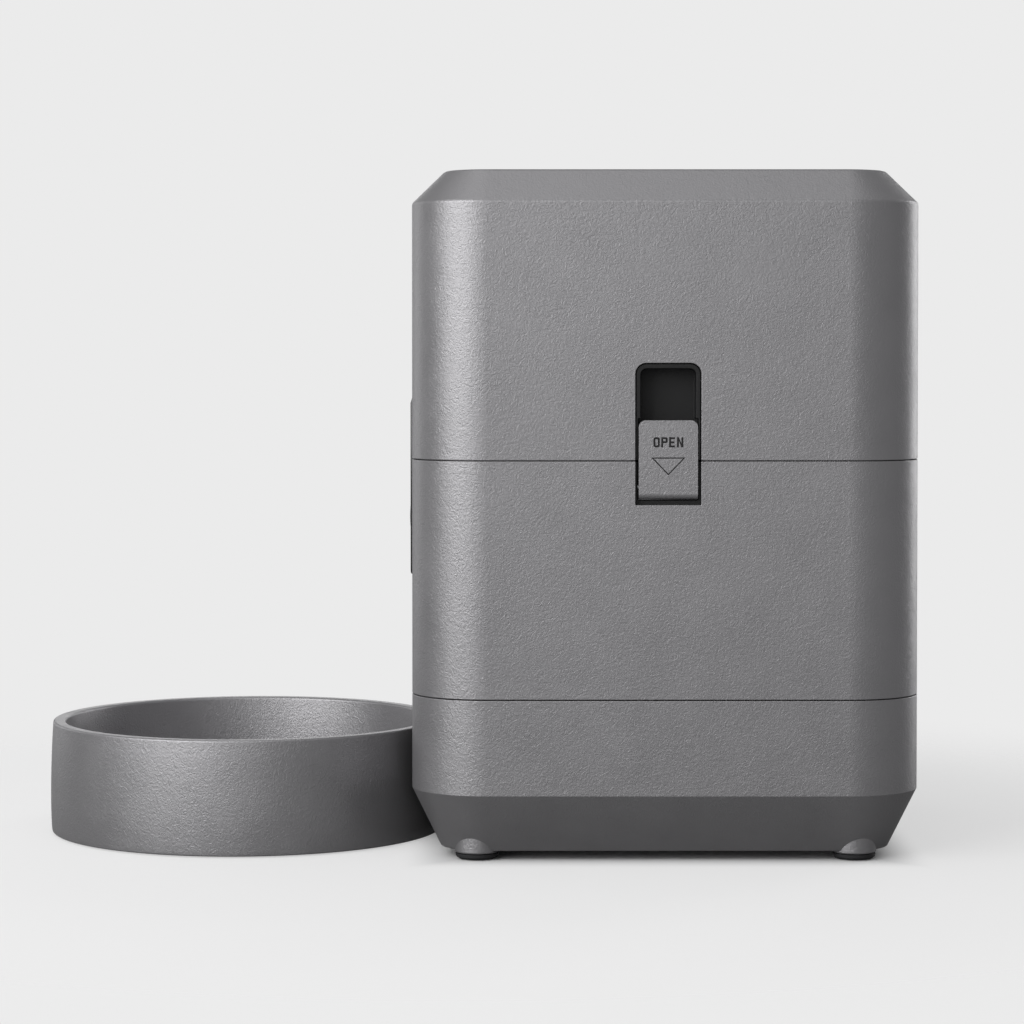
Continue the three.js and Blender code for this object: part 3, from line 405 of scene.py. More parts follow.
def circle(radius: float, z: float, steps: int) -> Ring:
    """A level ring round the z axis, or a single point where the radius is nothing."""
    if radius < 1e-6:
        return [Vector((0, 0, z))]
    turns = [2 * math.pi * i / steps for i in range(steps)]
    return [Vector((radius * math.cos(a), radius * math.sin(a), z)) for a in turns]


# ---- meshes


def skin(rings: Sequence[Ring], capped: bool = True, closed: bool = False) -> BMesh:
    """Joins rings of equal count, or single points at poles, into one surface that faces out.

    A closed skin joins its last ring to its first; an open one can be capped at both ends.
    """
    mesh = bmesh.new()
    rows = [[mesh.verts.new(p) for p in ring] for ring in rings]
    pairs = list(zip(rows, rows[1:]))
    if closed:
        pairs.append((rows[-1], rows[0]))
    for low, high in pairs:
        count = max(len(low), len(high))
        for i in range(count):
            j = (i + 1) % count
            quad = [low[i % len(low)], low[j % len(low)], high[j % len(high)], high[i % len(high)]]
            mesh.faces.new(list(dict.fromkeys(quad)))
    if capped and not closed:
        for row in (rows[0], rows[-1]):
            if len(row) > 2:
                mesh.faces.new(row)
    bmesh.ops.recalc_face_normals(mesh, faces=mesh.faces)
    return mesh


def revolve(profile: Sequence[Point], steps: int, closed: bool = False) -> BMesh:
    """A solid of revolution about z from (radius, z) points."""
    return skin([circle(r, z, steps) for r, z in profile], closed=closed)


def post(radius: float, low: float, high: float, steps: int = 32) -> BMesh:
    """An upright cylinder on the z axis."""
    return revolve([(0, low), (radius, low), (radius, high), (0, high)], steps)


def prism(outline: Sequence[Point], low: float, high: float) -> BMesh:
    """A flat outline pushed up from low to high."""
    return skin([[Vector((x, y, z)) for x, y in outline] for z in (low, high)])


def block(low: Sequence[float], high: Sequence[float]) -> BMesh:
    """A box between two corners."""
    outline = [(low[0], low[1]), (high[0], low[1]), (high[0], high[1]), (low[0], high[1])]
    return prism(outline, low[2], high[2])


def turned(mesh: BMesh, *turns: tuple[str, float], shift: Sequence[float] = (0, 0, 0)) -> BMesh:
    """Turns a mesh about one axis after another, in degrees, and then shifts it."""
    for axis, degrees in turns:
        mesh.transform(Matrix.Rotation(math.radians(degrees), 4, axis))
    mesh.transform(Matrix.Translation(shift))
    return mesh


def rod(radius: float, span: Point, place: Sequence[float], steps: int = 32) -> BMesh:
    """A cylinder along -Y between two depths."""
    outline = [(p.x, p.y) for p in circle(radius, 0, steps)]
    return turned(prism(outline, *span), ("X", 90), shift=place)


def upright(
    half: float, span: Point, corner: float, depth: Point, foot: float | None = None
) -> BMesh:
    """A plate with round corners that faces the front: half width, heights, corner and depths."""
    low, high = span
    foot = corner if foot is None else foot
    corners = [(-half, low, foot), (half, low, foot), (half, high, corner), (-half, high, corner)]
    return turned(prism(fillet(corners, 8, closed=True), *depth), ("X", 90))


def gather(meshes: Iterable[BMesh]) -> BMesh:
    """Puts several meshes into one, as separate islands."""
    whole = bmesh.new()
    for part in meshes:
        data = bpy.data.meshes.new("part")
        part.to_mesh(data)
        part.free()
        whole.from_mesh(data)
        bpy.data.meshes.remove(data)
    return whole


def as_object(mesh: BMesh, name: str = "work") -> Object:
    """A new object in the scene that holds the mesh."""
    data = bpy.data.meshes.new(name)
    mesh.to_mesh(data)
    mesh.free()
    made = bpy.data.objects.new(name, data)
    bpy.context.scene.collection.objects.link(made)
    return made


def discard(obj: Object) -> None:
    """Removes an object and its mesh."""
    data = obj.data
    bpy.data.objects.remove(obj)
    bpy.data.meshes.remove(data)


def as_mesh(obj: Object) -> BMesh:
    """Takes the mesh out of an object, which is used up."""
    mesh = bmesh.new()
    mesh.from_mesh(obj.data)
    discard(obj)
    return mesh


def bake(obj: Object) -> Object:
    """Replaces an object's mesh by what its modifiers make of it, and removes them."""
    bpy.context.view_layer.update()
    seen = obj.evaluated_get(bpy.context.evaluated_depsgraph_get())
    fresh = bpy.data.meshes.new_from_object(seen)
    stale = obj.data
    obj.modifiers.clear()
    obj.data = fresh
    bpy.data.meshes.remove(stale)
    return obj


def combine(obj: Object, *tools: BMesh, operation: str = "DIFFERENCE") -> None:
    """Cuts tools out of an object one by one, joins them on, or keeps what they share."""
    for tool in tools:
        helper = as_object(tool, "tool")
        stored = obj.data.attributes.get("custom_normal")
        if stored:  # normals of the uncut shape, which would smear over the new faces
            obj.data.attributes.remove(stored)
        modifier = obj.modifiers.new("combine", "BOOLEAN")
        modifier.operation = operation
        modifier.solver = "EXACT"
        modifier.object = helper
        bake(obj)
        discard(helper)


def soften(obj: Object, width: float = 0.0, segments: int = 3, angle: float = SHARP) -> Object:
    """Rounds edges sharper than an angle, unless the width is 0, and cleans the normals."""
    bpy.context.view_layer.update()
    if width > 0:
        modifier = obj.modifiers.new("round", "BEVEL")
        modifier.width = width
        modifier.segments = segments
        modifier.limit_method = "ANGLE"
        modifier.angle_limit = angle
        modifier.miter_outer = "MITER_ARC"
        bake(obj)
    data = obj.data
    data.polygons.foreach_set("use_smooth", [True] * len(data.polygons))
    data.set_sharp_from_angle(angle=SHARP)
    modifier = obj.modifiers.new("normals", "WEIGHTED_NORMAL")
    modifier.keep_sharp = True
    modifier.weight = 60
    return bake(obj)


def settle(obj: Object, origin: Vector, turn: float = 0.0) -> Object:
    """Takes a finished mesh from its own frame in millimetres to the row frame in metres."""
    turning = Matrix.Rotation(turn, 4, "Z")
    obj.data.transform(Matrix.Translation(origin) @ turning @ Matrix.Scale(MM, 4))
    obj.data.update()
    return obj


def cad_copy(node: str) -> Object:
    """A copy of a CAD node with its triangles merged into clean faces, in the row frame."""
    mesh = bmesh.new()
    mesh.from_mesh(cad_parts[node].data)
    bmesh.ops.remove_doubles(mesh, verts=mesh.verts, dist=0.004 * MM)
    flat = math.radians(1)
    bmesh.ops.dissolve_limit(mesh, angle_limit=flat, verts=mesh.verts, edges=mesh.edges)
    bmesh.ops.recalc_face_normals(mesh, faces=mesh.faces)
    return as_object(mesh, node + "_copy")


# ---- repeats


class Repeat:
    """A geometry node tree that stands copies of a piece on points, then makes them real."""

    SOCKETS = (
        ("Points", "NodeSocketGeometry"),
        ("Piece", "NodeSocketObject"),
        ("Finish", "NodeSocketMaterial"),
        ("Turn each", "NodeSocketFloat"),
    )

    def __init__(self) -> None:
        """Builds the tree with its named inputs."""
        self._tree = tree = bpy.data.node_groups.new("copies_on_points", "GeometryNodeTree")
        face = tree.interface
        face.new_socket("Geometry", in_out="OUTPUT", socket_type="NodeSocketGeometry")
        self._sockets = {
            name: face.new_socket(name, in_out="INPUT", socket_type=kind).identifier
            for name, kind in self.SOCKETS
        }
        given = add_node(tree, "NodeGroupInput").outputs
        piece = add_node(tree, "GeometryNodeObjectInfo", {"Object": given["Piece"]})
        index = out(tree, "GeometryNodeInputIndex")
        angle = maths(tree, "MULTIPLY", index, given["Turn each"])
        turn = out(tree, "ShaderNodeCombineXYZ", {"Z": angle})
        shape = piece.outputs["Geometry"]
        wanted = {"Points": given["Points"], "Instance": shape, "Rotation": turn}
        copies = out(tree, "GeometryNodeInstanceOnPoints", wanted)
        real = out(tree, "GeometryNodeRealizeInstances", {"Geometry": copies})
        wanted = {"Geometry": real, "Material": given["Finish"]}
        dressed = out(tree, "GeometryNodeSetMaterial", wanted)
        add_node(tree, "NodeGroupOutput", {"Geometry": dressed})

    def make(
        self, name: str, piece: Object, points: Sequence[Sequence[float]],
        finish: bpy.types.Material, turn_each: float = 0.0,
    ) -> Object:
        """One mesh with a copy of a piece on every point, each turned on from the last."""
        data = bpy.data.meshes.new(name)
        data.from_pydata([tuple(p) for p in points], [], [])
        made = bpy.data.objects.new(name, data)
        bpy.context.scene.collection.objects.link(made)
        modifier = made.modifiers.new("copies", "NODES")
        modifier.node_group = self._tree
        modifier[self._sockets["Piece"]] = piece
        modifier[self._sockets["Finish"]] = finish
        modifier[self._sockets["Turn each"]] = turn_each
        bake(made)
        discard(piece)
        return made


# ---- the workshop


@dataclass
class Workshop:
    """What every sub-assembly needs: the finishes, the copier, and where the feeder stands."""

    paint: Paintbox
    repeat: Repeat
    tower: Vector
    bowl: Vector

    def dress(self, obj: Object, name: str, body: str, slot: Slot, nodes: Sequence[str]) -> None:
        """Names a settled piece, gives it its finish, and ties it to its body and CAD nodes."""
        obj.name = name
        obj.data.name = name
        obj.data.materials.clear()
        obj.data.materials.append(self.paint[slot])
        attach(obj, body)
        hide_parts(*nodes)
        LOG.info("%s on %s: %d faces", name, body, len(obj.data.polygons))

    def place(
        self, obj: Object, name: str, body: str, slot: Slot, nodes: Sequence[str],
        turn: float = 0.0,
    ) -> None:
        """Settles a piece drawn in the tower's frame, and dresses it."""
        self.dress(settle(obj, self.tower, turn), name, body, slot, nodes)

    def refine(
        self, node: str, body: str, slot: Slot, width_mm: float = 0.3, segments: int = 2
    ) -> None:
        """Makes a finer version of a CAD node, with its edges rounded."""
        fine = soften(cad_copy(node), width_mm * MM, segments)
        self.dress(fine, node + "_fine", body, slot, [node])

    def refine_all(self, groups: Iterable[tuple[Any, ...]]) -> None:
        """Refines each body's (node, slot, rounding) rows in their order."""
        for body, *rows in groups:
            for node, slot, width_mm in rows:
                self.refine(node, body, slot, width_mm)


# ---- casing


@dataclass
class Casing:
    """The three shells of the tower. Sizes in millimetres."""

    shop: Workshop
    half: float
    top: float
    bottom: float
    base_joint: Point
    cover_joint: Point
    feet: Sequence[Point]
    screws: Sequence[Point]
    corner: float = 33.3
    least_corner: float = 3.0
    wall: float = 2.4
    edge: float = 0.28
    lip: float = 0.3
    top_chamfer: Point = (14.5, 14.1)
    foot_inset: Point = (14.7, 12.6)
    foot_rise: float = 25.9
    rim_inset: Point = (2.9, 4.4)
    rim_height: float = 3.2
    flat_inset: float = 45.0
    latch_pocket: tuple[float, Point, float] = (14.15, (155.1, 216.1), 4.7)
    panel_window: tuple[float, Point, float] = (31.3, (119.5, 206.2), 4.3)
    mouth: tuple[float, Point, float] = (28.3, (74.1, 109.3), 0.6)
    back_depth: Point = (-115.0, -100.0)
    socket: tuple[float, Point] = (5.3, (50.0, 88.0))
    sound_slots: tuple[int, float, float] = (5, 5.0, -45.0)
    niche: Point = (96.5, 56.0)
    bowl_distance: float = 190.0
    boss: tuple[float, float, float] = (9.7, 2.6, 12.0)
    pillar: float = 5.6
    well: Point = (3.8, 58.0)

    def _shell(self, profile: Sequence[Point], closed: bool) -> Object:
        """A shell or block from (inset, z) points, each a ring round the tower."""
        rings = []
        for inset, z in profile:
            corner = max(self.corner - inset, self.least_corner)
            rings.append(rounded_rect(self.half - inset, self.half - inset, corner, z))
        return as_object(skin(rings, closed=closed))

    def _tub(self, profile: Sequence[Point]) -> Object:
        """A block from (inset, z) points, less inset at the front and back than at the sides."""
        side, end = self.foot_inset
        rings = []
        for inset, z in profile:
            low_share = (self.bottom + self.foot_rise - z) / self.foot_rise
            spare = (side - end) * min(1.0, max(0.0, low_share))
            half = self.half - inset
            corner = max(self.corner - inset + spare / 2, self.least_corner)
            rings.append(rounded_rect(half, half + spare, corner, z))
        return as_object(skin(rings))

    def _side_pockets(self) -> BMesh:
        """The cutter of both latch pockets: round at the top, square at the bottom."""
        half, span, corner = self.latch_pocket
        depth = (self.half - 11, self.half + 9)
        ways = (90, -90)
        return gather(turned(upright(half, span, corner, depth, 0.4), ("Z", way)) for way in ways)

    def _front_window(self, opening: tuple[float, Point, float]) -> BMesh:
        """A cutter through the front wall with round corners."""
        return upright(*opening, (self.half - 10, self.half + 9))

    def _sound_slots(self) -> BMesh:
        """The cutter of the speaker's slots in the back wall."""
        count, pitch, middle = self.sound_slots
        corners = [(-1, 82, 0.95), (1, 82, 0.95), (1, 106, 0.95), (-1, 106, 0.95)]
        outline = fillet(corners, 6, closed=True)
        slots = []
        for i in range(count):
            along = middle + pitch * (i - count // 2)
            slots.append(turned(prism(outline, *self.back_depth), ("X", 90), shift=(along, 0, 0)))
        return gather(slots)

    def cover(self) -> None:
        """The hood: roof, chamfer and upper walls, with notches for the latches and the panel."""
        inset, rise = self.top_chamfer
        low, wall, lip = self.cover_joint[1], self.wall, self.lip
        under = self.top - wall
        corners = [
            (self.flat_inset, self.top, 0), (inset, self.top, 3.2), (0, self.top - rise, 2.2),
            (0, low, lip), (wall, low, lip), (wall, self.top - rise - 1, 2),
            (inset + 1, under, 2), (self.flat_inset, under, 0),
        ]
        shell = self._shell(fillet(corners, 5), closed=False)
        combine(shell, self._side_pockets(), self._front_window(self.panel_window))
        soften(shell, self.edge)
        self.shop.place(shell, "top_cover_shell", "cover", Slot.SHELL, ["top_cover"])

    def housing(self) -> None:
        """The middle shell with its inner rim, and every opening in it."""
        low, high = self.base_joint[1], self.cover_joint[0]
        wall, lip = self.wall, self.lip
        outer, inner = self.rim_inset
        rim = high + self.rim_height
        corners = [
            (0, low, lip), (0, high, lip), (outer, high, 0), (outer, rim, 0.3), (inner, rim, 0.3),
            (inner, high - 5, 0), (wall, high - 9, 0), (wall, low, lip),
        ]
        shell = self._shell(fillet(corners, closed=True), closed=True)
        behind_latches = gather(block((x, -16, 152.4), (x + 14, 16, 190)) for x in (95, -109))
        radius, (along, height) = self.socket
        combine(
            shell, self._side_pockets(), behind_latches, self._front_window(self.panel_window),
            self._front_window(self.mouth), self._sound_slots(),
            rod(radius, self.back_depth, (along, 0, height), 48),
        )
        soften(shell, self.edge)
        self.shop.place(shell, "main_housing_shell", "housing", Slot.SHELL, ["main_housing"])

    def base(self) -> None:
        """The foot: chamfered tub with the bowl's niche, foot bosses and screw wells."""
        rise, inset = self.foot_rise, self.foot_inset[0]
        low, high, wall = self.bottom, self.base_joint[0], self.wall
        outer = [
            (self.flat_inset, low, 0), (inset, low, 0.8), (0, low + rise, 0.7),
            (0, high, self.lip), (wall / 2, high, 0),
        ]
        inner = [
            (self.flat_inset, low + wall), (inset + 1.2, low + wall),
            (wall, low + rise + 0.8), (wall, high + 8),
        ]
        radius, top = self.niche
        bowl_place = (0, -self.bowl_distance, 0)
        tub = self._tub(fillet(outer, 5))
        combine(tub, turned(post(radius, -5, top, 256), shift=bowl_place))
        room = self._tub(inner)
        combine(room, turned(post(radius + wall, -5, top + wall, 256), shift=bowl_place))
        combine(tub, as_mesh(room))
        bosses = [turned(self._boss(), shift=(x, y, 0)) for x, y in self.feet]
        pillars = [
            turned(post(self.pillar, low + 1, high), shift=(x, y, 0)) for x, y in self.screws
        ]
        combine(tub, gather(bosses), gather(pillars), operation="UNION")
        radius, top = self.well
        wells = [turned(post(radius, 0, top), shift=(x, y, 0)) for x, y in self.screws]
        battery_bay = block((-50.3, -22.3, 0), (50.3, 50.3, 12))
        combine(tub, gather(wells), battery_bay)
        soften(tub, self.edge, angle=math.radians(24))
        self.shop.place(tub, "base_housing_shell", "housing", Slot.SHELL, ["base_housing"])

    def _boss(self) -> BMesh:
        """A foot's boss, with a small round at its lower edge."""
        radius, low, high = self.boss
        corners = [(0, low, 0), (radius, low, 0.8), (radius, high, 1.2), (0, high, 0)]
        return revolve(fillet(corners, 5), 64)


# ---- latch


@dataclass
class Latch:
    """A side latch: lever, pin, spring and the two halves of its dark pocket, in millimetres."""

    shop: Workshop
    side: Side
    half: float = 12.7
    low: float = 157.4
    high: float = 191.5
    face: float = 110.6
    pivot: Point = (105.4, 162.6)
    roll: float = 5.2
    thickness: float = 3.5
    hook: tuple[float, Point] = (101.3, (180.6, 183.4))
    top_corner: float = 3.0
    front_corner: float = 2.6
    pin_bore: float = 1.8
    spring_room: float = 3.7
    shade_fill_gap: float = 0.15
    mark_depth: float = 0.5
    letter: tuple[float, float, float] = (2.75, 4.4, 0.85)
    letter_gap: float = 0.62
    letter_low: float = 179.9
    arrow_top: float = 175.6
    arrow_half: float = 7.4
    arrow_height: float = 7.7
    stroke: float = 0.5
    lip_cut: float = 107.6

    def lever(self) -> None:
        """The lever, with a plain word and a down arrow sunk in its face, and a black fill in them
        that paints the engraving's shade.
        """
        word, turn = self.side.word, self.side.value
        plate = self._blank()
        combine(plate, self._word(2), self._arrow(2))
        soften(plate)
        name, body = f"latch_lever_{word}", f"latch_{word}"
        self.shop.place(plate, name + "_face", body, Slot.SHELL, [name], turn)
        # A black fill in the word and the arrow, stopping short of the face: painted shade that
        # darkens the engraving.
        thick = self.mark_depth - self.shade_fill_gap
        shade_fill = as_object(gather([self._word(thick), self._arrow(thick)]))
        self.shop.place(shade_fill, f"latch_marks_{word}", body, Slot.BLACK, [], turn)

    def _blank(self) -> Object:
        """The lever without its marks: a plate on a rolled foot, with the hook behind."""
        back = self.face - self.thickness
        px, pz = self.pivot
        turns = (math.pi * (i / 28 - 1) for i in range(15))
        outline = [(px + self.roll * math.cos(a), pz + self.roll * math.sin(a)) for a in turns]
        foot = pz - self.roll
        front = [(px + 0.5, foot, 0), (self.face, foot, self.front_corner), (self.face, pz, 0)]
        outline += fillet(front, 7)
        tip, (hook_low, hook_high) = self.hook
        outline += [
            (self.face, self.high), (back, self.high), (back, 186), (tip, hook_high),
            (tip, hook_low), (back, hook_low), (back, pz + 6), (px - 2, pz + 4.6),
        ]
        plate = as_object(turned(prism(outline, -self.half, self.half), ("X", 90)))
        mould = upright(self.half, (self.low - 2, self.high), self.top_corner, (90, 120), 0)
        combine(plate, turned(mould, ("Z", 90)), operation="INTERSECT")
        top = self.high + 1
        beside_hook = (
            block((99, y0, pz + 7), (back, y1, top)) for y0, y1 in ((-20, -5.5), (5.5, 20))
        )
        combine(
            plate, *beside_hook,
            rod(self.pin_bore, (-20, 20), (px, 0, pz)), rod(self.spring_room, (-4, 4), (px, 0, pz)),
            block((99, -4, pz - 3.5), (px, 4, pz + 3.5)),
        )
        return soften(plate, 0.8, 4)

    def _word(self, thick: float) -> BMesh:
        """Four plain block capitals, from the bottom of their engraving up."""
        w, h, t = self.letter
        arm, waist = 0.92 * w, 0.42 * h
        m0, m1 = (h - t) / 2, (h + t) / 2
        o_outer = [(0, 0, 0.9), (w, 0, 0.9), (w, h, 0.9), (0, h, 0.9)]
        o_hole = [(t, t, 0.3), (w - t, t, 0.3), (w - t, h - t, 0.3), (t, h - t, 0.3)]
        p_outer = [(0, 0, 0), (t, 0, 0), (t, waist, 0), (w, waist, 0.8), (w, h, 0.8), (0, h, 0)]
        p_low = waist + t
        p_hole = [(t, p_low, 0), (w - t, p_low, 0.2), (w - t, h - t, 0.2), (t, h - t, 0)]
        bars_e = [
            (0, 0), (arm, 0), (arm, t), (t, t), (t, m0), (w * 0.84, m0), (w * 0.84, m1), (t, m1),
            (t, h - t), (arm, h - t), (arm, h), (0, h),
        ]
        bars_n = [
            (0, 0), (t, 0), (t, h * 0.62), (w - t, 0), (w, 0), (w, h), (w - t, h),
            (w - t, h * 0.38), (t, h), (0, h),
        ]
        shapes = (
            (fillet(o_outer, 5, closed=True), fillet(o_hole, 3, closed=True)),
            (fillet(p_outer, 5, closed=True), fillet(p_hole, 3, closed=True)),
            (bars_e, None),
            (bars_n, None),
        )
        pitch = w + self.letter_gap
        start = -(4 * w + 3 * self.letter_gap) / 2
        letters = []
        for i, (outline, hole) in enumerate(shapes):
            shape = as_object(prism(outline, 0, thick))
            if hole:
                combine(shape, prism(hole, -1, thick + 1))
            letters.append(turned(as_mesh(shape), shift=(i * pitch + start, 0, 0)))
        mesh = gather(letters)
        mesh.transform(Matrix(((0, 0, 1, 0), (1, 0, 0, 0), (0, 1, 0, 0), (0, 0, 0, 1))))
        return turned(mesh, shift=(self.face - self.mark_depth, 0, self.letter_low))

    def _arrow(self, thick: float) -> BMesh:
        """A plain arrow head that points down, from the bottom of its engraving up."""
        top, wide, s = self.arrow_top, self.arrow_half, self.stroke
        tip = top - self.arrow_height
        slant = math.hypot(self.arrow_height, wide)
        side = wide - s * slant / self.arrow_height - s
        outer = [(-wide, top), (0, tip), (wide, top)]
        inner = [(-side, top - s), (0, tip + s * slant / wide), (side, top - s)]
        ring_out, ring_in = (
            [Vector((self.face - self.mark_depth, y, z)) for y, z in path]
            for path in (outer, inner)
        )
        lift = Vector((thick, 0, 0))
        rings = [ring_out, [p + lift for p in ring_out], [p + lift for p in ring_in], ring_in]
        return skin(rings, closed=True)

    def fittings(self) -> None:
        """The pocket's two dark halves, the pin and the spring."""
        word = self.side.word
        self.shop.refine(f"latch_recess_upper_{word}", "cover", Slot.BLACK, 0.5, 3)
        name = f"latch_recess_lower_{word}"
        low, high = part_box(name)
        sign = 1 if self.side is Side.RIGHT else -1
        past_wall = 0.13
        x0, x1 = sorted((sign * self.lip_cut * MM, sign * past_wall))
        spare = Vector((0, 0.01, 0.01))
        low, high = low - spare, high + spare
        liner = cad_copy(name)
        combine(liner, block((x0, low.y, low.z), (x1, high.y, high.z)))
        soften(liner, 0.3 * MM)
        self.shop.dress(liner, name + "_fine", "housing", Slot.BLACK, [name])
        self.shop.refine(f"latch_pin_{word}", "housing", Slot.STEEL, 0.2)
        self.shop.refine(f"latch_spring_{word}", "housing", Slot.STEEL, 0.0)


# ---- control panel


@dataclass
class ControlPanel:
    """The glossy panel on the front, its window, lens and buttons. Sizes in millimetres."""

    shop: Workshop
    half: float = 31.0
    low: float = 119.8
    high: float = 205.9
    front: float = 113.3
    back: float = 102.3
    skin_depth: float = 2.2
    corner: float = 4.0
    gap: float = 0.3
    window: tuple[float, float, float] = (20.0, 186.0, 198.5)
    lens: Point = (180.5, 3.3)
    set_button: tuple[float, float, float] = (169.4, 6.5, 0.8)
    feed_button: tuple[float, float, float] = (144.9, 9.0, 1.2)

    def bezel(self) -> None:
        """The bezel: a tray with round corners, its top end sloping back to the casing."""
        front, high = self.front, self.high
        tray = as_object(upright(self.half, (self.low, high), self.corner, (self.back, front)))
        slope = [(front + 1, high - 8.6), (front + 1, high + 1), (front - 2.9, high + 1),
                 (front, high - 8)]
        combine(tray, turned(prism([(-y, z) for y, z in slope], -40, 40), ("X", 90), ("Z", 90)))
        soften(tray, 0.7, 4)
        inside = (self.low + 2, high - 2)
        depth = (self.back - 1, front - self.skin_depth)
        combine(tray, upright(self.half - 2, inside, self.corner - 1.6, depth))
        half, low, high = self.window
        through = (self.back, front + 2)
        gap = self.gap
        combine(tray, upright(half + gap, (low - gap, high + gap), 1.5, through))
        for z, radius in (self.lens, self.set_button[:2], self.feed_button[:2]):
            combine(tray, rod(radius + gap, through, (0, 0, z), 64))
        soften(tray, 0.12, 2)
        self.shop.place(tray, "panel_bezel_cap", "housing", Slot.GLOSS, ["panel_bezel"])

    def window_pane(self) -> None:
        """The dark pane over the display."""
        half, low, high = self.window
        pane = as_object(upright(half, (low, high), 1.2, (self.front - 1.6, self.front)))
        soften(pane, 0.2)
        self.shop.place(pane, "display_pane", "housing", Slot.GLOSS, ["display_window"])

    def _turned_piece(self, profile: Sequence[Point], z: float, steps: int) -> Object:
        """A solid of revolution from (radius, height) points that faces the front."""
        cap = turned(revolve(profile, steps), ("X", 90), shift=(0, -self.front, z))
        return soften(as_object(cap))

    def _button(self, size: tuple[float, float, float], ring: float) -> Object:
        """A crowned button with a shallow ring groove, its flange and its stem."""
        z, radius, proud = size
        flange, groove = self.skin_depth + 0.3, 0.35
        under, stem = flange + 1.2, flange + 1.8
        corners = [
            (0, -proud, 0), (ring - 0.5, -proud * 0.82, 0.1),
            (ring - 0.2, -proud * 0.7 + groove, 0.1), (ring + 0.2, -proud * 0.66 + groove, 0.1),
            (ring + 0.5, -proud * 0.6, 0.1), (radius - 0.5, -0.02, 0.4), (radius, 0.5, 0.3),
            (radius, flange, 0), (radius + 1.2, flange, 0.1), (radius + 1.2, under, 0.1),
            (1.6, under, 0), (1.6, stem, 0.1), (0, stem, 0),
        ]
        return self._turned_piece([(r, -depth) for r, depth in fillet(corners)], z, 72)

    def buttons(self) -> None:
        """Both buttons and the status lens."""
        rows = (("set_button", self.set_button, 3.2), ("feed_button", self.feed_button, 5.4))
        for node, size, ring in rows:
            self.shop.place(self._button(size, ring), node + "_cap", node, Slot.BLACK, [node])
        z, radius = self.lens
        corners = [(0, 0.2, 0), (radius * 0.7, 0.12, 0.6), (radius, -0.3, 0.3),
                   (radius, -7.0, 0.1), (0, -7.0, 0)]
        lens = self._turned_piece(fillet(corners), z, 48)
        self.shop.place(lens, "status_light_guide", "housing", Slot.LENS, ["status_lens"])


# ---- inside


@dataclass
class Hopper:
    """The food hopper: a rounded square with a funnel floor and a rolled rim, in millimetres."""

    shop: Workshop
    half: float = 95.0
    corner: float = 26.0
    wall: float = 2.2
    low: float = 163.0
    high: float = 279.0
    funnel: Point = (21.0, 26.0)
    hole: float = 70.0

    def build(self) -> None:
        """Skins the hopper's wall and opens its floor."""
        inset, rise = self.funnel
        wall, low, high = self.wall, self.low, self.high
        middle = self.half - 10
        corners = [
            (middle, low, 0), (inset, low, 1.5), (0, low + rise, 6), (0, high, 0.9),
            (wall, high, 0.9), (wall, low + rise + 1, 6), (inset + 0.6, low + wall, 2),
            (middle, low + wall, 0),
        ]
        rings = []
        for i, z in fillet(corners, 5):
            rings.append(rounded_rect(self.half - i, self.half - i, max(self.corner - i, 4.0), z))
        tub = as_object(skin(rings))
        combine(tub, post(self.hole, low - 2, low + 5, 128))
        soften(tub, 0.3, 2)
        self.shop.place(tub, "food_hopper", "housing", Slot.INNER, ["hopper"])


# What is refined straight from the frame: node, slot and rounding in millimetres, by body.
BEHIND_PANEL = (
    ("housing", ("display_module", Slot.BLACK, 0.15), ("set_switch", Slot.BLACK, 0.15),
     ("feed_switch", Slot.BLACK, 0.15), ("panel_board", Slot.BOARD, 0.15),
     ("panel_backing", Slot.BLACK, 0.15)),
)
FOOD_DRIVE_AND_LID = (
    ("housing", ("rotor_deck", Slot.WHITE, 0.4), ("baffle", Slot.WHITE, 0.4),
     ("chute", Slot.BLACK, 0.4), ("food_sensor", Slot.BLACK, 0.4),
     ("gearbox_case", Slot.WHITE, 0.3), ("gear_motor", Slot.STEEL, 0.6)),
    ("rotor", ("rotor", Slot.WHITE, 0.3), ("stirrer", Slot.INNER, 0.8),
     ("output_gear", Slot.WHITE, 0.15), ("output_shaft", Slot.STEEL, 0.3)),
    ("idler", ("idler_gear", Slot.WHITE, 0.12)),
    ("motor_rotor", ("motor_pinion", Slot.STEEL, 0.08)),
    ("housing", ("battery_1", Slot.WRAP, 0.3), ("battery_2", Slot.WRAP, 0.3),
     ("battery_3", Slot.WRAP, 0.3), ("battery_contact_front", Slot.STEEL, 0.2),
     ("battery_contact_back", Slot.STEEL, 0.2), ("main_board", Slot.BOARD, 0.2),
     ("speaker", Slot.BLACK, 0.4), ("power_socket", Slot.BLACK, 0.3)),
    ("cover", ("lid_plate", Slot.WHITE, 0.6)),
)


# ---- underside

CORNER_PLACES = ("front_right", "back_right", "back_left", "front_left")
DOOR_PLACES = ("right", "left")


